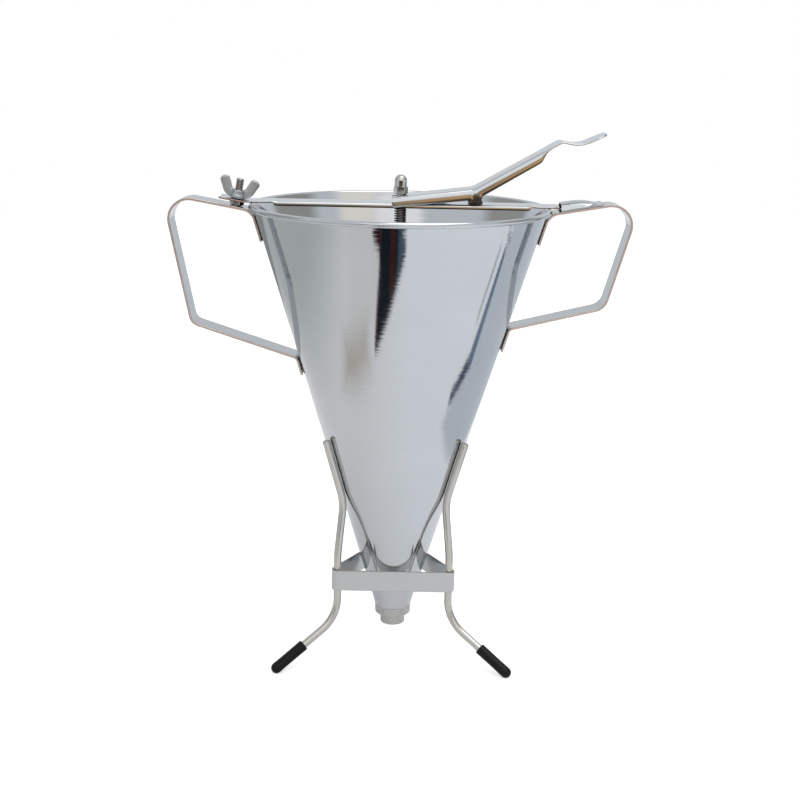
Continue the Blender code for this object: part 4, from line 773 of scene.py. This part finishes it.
# The top line runs from the fork over the bend to the crest, the dip and the tab's end. The walls get deeper
# round the pin, by boss * sqrt(1 - (distance / boss) ^ 2), and the first part is two prongs beside the rod
def makeLever():
    pivot = np.array(lever["pivot"])
    slope, arm, fall, reach = (np.radians(lever[name]) for name in ("slope", "armSlope", "fallSlope", "reachSlope"))
    onLeft = pivot + lever["over"] * np.array([-np.sin(slope), np.cos(slope)])
    onArm = pivot + lever["over"] * np.array([-np.sin(arm), np.cos(arm)])
    tip = onLeft - np.array([1, np.tan(slope)]) * (onLeft[0] + lever["tip"])
    bend = crossing(onLeft, slope, onArm, arm)
    crest = bend + lever["arm"] * unit(arm)
    dip = crest + lever["fall"] * unit(-fall)
    end = dip + lever["reach"] * unit(reach)
    line = bentLine([(*tip, 0), (*bend, lever["bend"]), (*crest, lever["crestBend"]), (*dip, lever["dipBend"]),
                     (*end, 0)], turnStep=2, spacing=0.6 * mm)
    run = runOf(line)
    bendRun = np.linalg.norm(bend - tip)
    crestRun = bendRun + lever["arm"]
    before, wall = np.array(lever["wallEnd"]).T * mm
    depth = np.interp(run, [0, bendRun, *(crestRun - before)], [lever["depth"], lever["depth"], *wall])
    depth = np.where(np.abs(run - bendRun) < lever["bossReach"], depth, np.convolve(
        np.pad(depth, len(lever["smoothing"]) // 2, "edge"), lever["smoothing"], "valid"))
    depth -= lever["tipCorner"] * (1 - rounded(run, 0, lever["tipCorner"]))
    beside = np.clip(1 - ((run - bendRun + lever["bossBack"]) / lever["boss"]) ** 2, 0, None)
    depth = np.maximum(depth, (lever["over"] + lever["boss"] * np.sqrt(beside)) * (beside > 0))
    left = (run[-1] - run) * np.cos(reach)
    width = lever["halfWidth"] - lever["nose"] * (1 - rounded(left, 0, lever["nose"]))
    wallFades = crestRun - before[[2, -1]]
    corner = np.interp(run, wallFades, [lever["corner"], lever["tabCorner"]])
    toTab = np.interp(run, wallFades, [0, 1])[:, None]
    draft = [np.radians(a + (b - a) * toTab) for a, b in zip(lever["draft"], lever["tabDraft"])]
    slot = np.searchsorted(run, lever["tip"] + lever["slotBack"])
    across, up = channelSection(width, depth, corner, lever["sheet"], draft)
    gridPiece("pressedLever", carry(line, across, up)[slot:], "buffedPressing", "lever_arm", "lever",
              caps=True, sharp=35)
    near = slice(0, slot + 1)
    across, up = channelSection(width[near], depth[near], corner[near], lever["sheet"],
                                [part[near] for part in draft], lever["slotHalf"])
    for name, side in (("Front", -1), ("Back", 1)):
        gridPiece("leverProng" + name, carry(line[near], side * across, up), "buffedPressing", "lever_arm",
                  "lever", caps=True, sharp=35)


makeLever()
print("bridge bar and lever made")

# Piston: the spring and the domed nut

piston = dict(
    nutHeight=308.33 * mm, nutHex=4.7 * mm, nutDome=12 * mm, boreDepth=8.2 * mm, rod=2.5 * mm,
    springWire=0.9 * mm, springPlay=0.5 * mm, springPitch=1.5 * mm, springTurns=36, closedTurns=1.25,
    easeTurns=0.25, turnSteps=30, wireSteps=12, topRoom=0.02 * mm, stroke=21 * mm)
springTop = bar["seat"] + bar["rise"] - clamp["barSheet"] - fit - piston["topRoom"]
springLength = 2 * piston["springWire"] + piston["springTurns"] * piston["springPitch"]


# Coil: a point of the wire is (R cos a, R sin a, z(a)) + r (cos b * outward + sin b * upward), and z rises by one
# wire in each end turn and by one pitch in the others
def makeSpring():
    wire = piston["springWire"]
    radius = piston["rod"] + piston["springPlay"] + wire / 2
    closed, ease = piston["closedTurns"], piston["easeTurns"]
    turns = 2 * closed + (springLength - wire - 2 * closed * wire) / piston["springPitch"]
    angle = np.linspace(0, 2 * np.pi * turns, int(turns * piston["turnSteps"]))
    run = angle / (2 * np.pi)
    ends = np.clip(np.minimum(run, turns - run) - closed, -ease, ease) / (2 * ease) + 0.5
    rate = wire + (piston["springPitch"] - wire) * ends
    height = np.concatenate([[0], np.cumsum((rate[1:] + rate[:-1]) / 2 * np.diff(run))])
    height = springTop - springLength + wire / 2 + height * (springLength - wire) / height[-1]
    around = aroundCircle(piston["wireSteps"])[None]
    points = polar(radius + wire / 2 * np.cos(around), angle[:, None], height[:, None] + wire / 2 * np.sin(around))
    piece = gridPiece("springCoil", points, "springWire", "funnel", "return_spring", caps=True, sharp=60)
    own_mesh(piece)


def makeCapNut():
    points = nutPoints(clamp["flats"], piston["nutHex"], piston["rod"] + fit, clamp["nutChamfer"],
                       piston["nutDome"], piston["boreDepth"])
    points[..., 2] += piston["nutHeight"]
    gridPiece("domedNut", points, "platedNut", "piston", "cap_nut", wrapRows=True, sharp=24)


makeSpring()
makeCapNut()
print("spring and domed nut made")

# Nodes kept as they are, with their finish

# the pivot bracket and pin take the rivet's finish, darkened as painted shade under the lever
kept = {
    "pivot_bracket": "rivetInPaintedShade", "pivot_pin": "rivetInPaintedShade", "piston_rod": "turnedBar",
    "spring_washer": "turnedBar", "stop_pin": "turnedBar", "plunger_tip": "turnedBar",
}
for node, finish in kept.items():
    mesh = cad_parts[node].data
    mesh.materials.clear()
    mesh.materials.append(materials[finish])
print("kept nodes finished")

# Studio

# The floor is a sheet of white paper on a table. The steel mirrors it bright at the right and greyer at the left,
# a painted falloff of the light that comes from the right, with a darker table beyond a slanting line. leftFrom to
# leftTo is where along X the right colour turns into the left one, and leftTo to farTo where that turns into the
# far one
studio = dict(
    floorReach=2.5, floorRight="#fbfbfd", floorLeft="#efeeec", floorFar="#c3c5c4", leftFrom=0.10, leftTo=-0.22,
    farTo=-0.55, seenFloor=(0.9, 0.886, 0.872, 1), floorRough=0.9, whiteLift=0.5, sky="#d9dde1", skyStrength=1.0,
    seenSky=(1, 1, 1, 1), raggedScale=26.0)
camera = dict(
    sensor=36, lens=56.26, clipEnd=20, place=(0.0022, -0.7893, 0.3849), downward=0.2602, roll=0.0205)
# bright and dark places round the studio: direction, half sizes along X, Y and Z, soft rim, colour, strength
surroundings = {
    "ceiling in front": ((0.05, -0.70, 0.72), (0.80, 0.34, 0.32), 0.45, "#ffffff", 1.25),
    "softbox above": ((0.22, -0.12, 0.97), (0.42, 0.36, 0.4), 0.35, "#ffffff", 3.0),
    "wall at the left": ((-0.95, 0.3, 0.3), (0.4, 0.6, 0.5), 0.5, "#a8a8a4", 1.0),
    "wall at the right": ((0.95, 0.3, 0.3), (0.4, 0.6, 0.5), 0.5, "#a3a39f", 1.0),
    "window in front": ((0.05, -0.95, 0.32), (0.55, 0.6, 0.21), 0.2, "#ffffff", 1.1),
    "lit wall in front": ((0.6, -0.7, 0.46), (0.42, 0.4, 0.20), 0.6, "#fffaf0", 1.0),
    "room behind the camera": ((0.0, -1.0, -0.01), (0.85, 0.6, 0.19), 0.4, "#8d7f69", 1.0),
    "warm lamp behind the camera": ((0.05, -1.0, 0.075), (0.13, 0.5, 0.09), 0.9, "#ffc98c", 0.75),
    "dark furniture behind the camera": ((0.0, -1.0, -0.11), (0.7, 0.5, 0.15), 0.4, "#4b3a2d", 1.0),
    "dark place behind the camera": ((-0.06, -1.0, -0.09), (0.085, 0.5, 0.11), 0.5, "#3c332b", 1.0),
}
# what the cone mirrors of the table, as flat shapes on it: corners anticlockwise, how far a noise moves the rim,
# soft rim, colour. Later ones lie over earlier ones
shapes = {
    "darker table": ([(0.20, -0.11), (3.0, 1.16), (3.0, 3.0), (0.20, 3.0)], 0.0, 0.03, "#d0d6dc"),
    "dark floor behind": ([(-3.0, 0.70), (-0.25, 0.70), (-0.25, 3.0), (-3.0, 3.0)], 0.0, 0.2, "#8f918f"),
    "warm sheet": ([(-0.262, -0.085), (-0.37, -0.46), (-0.05, -0.46), (-0.08, -0.30)], 0.02, 0.07, "#e6e4e0"),
    "warm end of the sheet": (
        [(-0.275, -0.03), (-0.32, -0.19), (-0.165, -0.33), (-0.09, -0.235)], 0.01, 0.10, "#bcada0"),
    "dark wedge": (
        [(-0.124, -0.246), (-0.107, -0.56), (-0.05, -0.56), (0.015, -0.455), (0.043, -0.44), (0.052, -0.412)],
        0.006, 0.010, "#1b2028"),
    "wedge's corner": (
        [(-0.165, -0.406), (-0.165, -0.56), (-0.10, -0.56), (-0.10, -0.385)], 0.008, 0.010, "#3a2226"),
    "wedge's blue side": (
        [(-0.02, -0.355), (-0.012, -0.45), (0.040, -0.44), (0.052, -0.412)], 0.006, 0.02, "#4d5b68"),
    "wedge's red streak": (
        [(-0.056, -0.330), (-0.058, -0.50), (-0.050, -0.50), (-0.018, -0.435), (-0.020, -0.356)],
        0.008, 0.014, "#44211f"),
    "wedge's red tip": (
        [(-0.126, -0.254), (-0.122, -0.350), (-0.102, -0.350), (-0.106, -0.268)], 0.008, 0.010, "#56383a"),
    "thin line": ([(0.40, -0.054), (0.57, -0.006), (0.57, 0.014), (0.40, -0.034)], 0.004, 0.010, "#7d8485"),
    "dark line": ([(0.335, -0.035), (0.59, 0.05), (0.60, 0.095), (0.335, 0.02)], 0.006, 0.012, "#76859a"),
    "dark line's end": (
        [(0.232, -0.085), (0.265, -0.097), (0.350, -0.035), (0.350, 0.02)], 0.006, 0.012, "#575c6e"),
    "dark line's turn": (
        [(0.598, 0.06), (0.612, 0.035), (0.628, 0.06), (0.622, 0.122), (0.60, 0.105)], 0.0, 0.010, "#76859a"),
}


# 1 inside a flat convex shape: the least of cross(unit edge, position - corner) over its edges, plus
# ragged * (noise - 0.5), is above 0
def flatShape(tree, position, corners, ragged, soft):
    corners, room = np.array(corners), None
    for start, end in zip(corners, np.roll(corners, -1, 0)):
        edge = (end - start) / np.linalg.norm(end - start)
        local = vectorMath(tree, "SUBTRACT", position, (*start, 0))
        depth = vectorMath(tree, "DOT_PRODUCT", local, (-edge[1], edge[0], 0), "Value")
        room = depth if room is None else numberMath(tree, "MINIMUM", room, depth)
    noise = addNode(tree, "TexNoise", inputs={"Vector": position, "Scale": studio["raggedScale"], "Detail": 3.0})
    noise = numberMath(tree, "SUBTRACT", noise.outputs[0], 0.5)
    return softStep(tree, numberMath(tree, "MULTIPLY_ADD", noise, ragged, room), 0.0, soft)


# pale floor that the camera sees as white, with the object's shadow left on it
def makeFloor():
    mesh = bpy.data.meshes.new("studioFloor")
    size = studio["floorReach"]
    mesh.from_pydata([(-size, -size, 0), (size, -size, 0), (size, size, 0), (-size, size, 0)], [], [(0, 1, 2, 3)])
    floor = addObject("studioFloor", mesh)
    material = bpy.data.materials.new("studioPaper")
    material.use_nodes = True
    tree = material.node_tree
    shader = tree.nodes["Principled BSDF"]
    position = addNode(tree, "TexCoord").outputs["Object"]
    across = addNode(tree, "SeparateXYZ", inputs={0: position}).outputs[0]
    # painted light: for mirrored rays the floor greys towards the left, as the light from the right falls off
    toLeft = softStep(tree, across, studio["leftFrom"], studio["leftTo"])
    toFar = softStep(tree, across, studio["leftTo"], studio["farTo"])
    colour = mixColour(tree, toLeft, linear(studio["floorRight"]), linear(studio["floorLeft"]))
    colour = mixColour(tree, toFar, colour, linear(studio["floorFar"]))
    for *shape, hexCode in shapes.values():
        colour = mixColour(tree, flatShape(tree, position, *shape), colour, linear(hexCode))
    path = addNode(tree, "LightPath").outputs["Is Camera Ray"]
    colour = mixColour(tree, path, colour, studio["seenFloor"])
    tree.links.new(colour, shader.inputs["Base Color"])
    tree.links.new(numberMath(tree, "MULTIPLY", path, studio["whiteLift"]), shader.inputs["Emission Strength"])
    shader.inputs["Emission Color"].default_value = (1, 1, 1, 1)
    shader.inputs["Roughness"].default_value = studio["floorRough"]
    shader.inputs["Specular IOR Level"].default_value = 0.0
    mesh.materials.append(material)


# soft places in the surroundings: a place is 1 where length((direction - centre) / half sizes) is small
def makeWorld():
    world = bpy.data.worlds.new("studio")
    bpy.context.scene.world = world
    world.use_nodes = True
    tree = world.node_tree
    direction = addNode(tree, "TexCoord").outputs["Generated"]
    colour = linear(studio["sky"])
    for centre, half, soft, hexCode, strength in surroundings.values():
        off = vectorMath(tree, "DIVIDE", vectorMath(tree, "SUBTRACT", direction, centre), half)
        mask = softStep(tree, vectorMath(tree, "LENGTH", off, output="Value"), 1.0, 1.0 - soft)
        colour = mixColour(tree, mask, colour, [strength * c for c in linear(hexCode)[:3]] + [1.0])
    path = addNode(tree, "LightPath").outputs["Is Camera Ray"]
    background = tree.nodes["Background"]
    tree.links.new(mixColour(tree, path, colour, studio["seenSky"]), background.inputs["Color"])
    background.inputs["Strength"].default_value = studio["skyStrength"]


def makeCamera():
    data = bpy.data.cameras.new("camera")
    data.sensor_width, data.lens, data.clip_end = camera["sensor"], camera["lens"], camera["clipEnd"]
    view = addObject("camera", data)
    view.matrix_world = (
        Matrix.Translation(camera["place"]) @ Matrix.Rotation(np.pi / 2 - camera["downward"], 4, "X")
        @ Matrix.Rotation(camera["roll"], 4, "Z"))
    bpy.context.scene.camera = view


makeFloor()
makeWorld()
makeCamera()
bpy.context.scene.view_settings.view_transform = "Standard"
print("studio made")
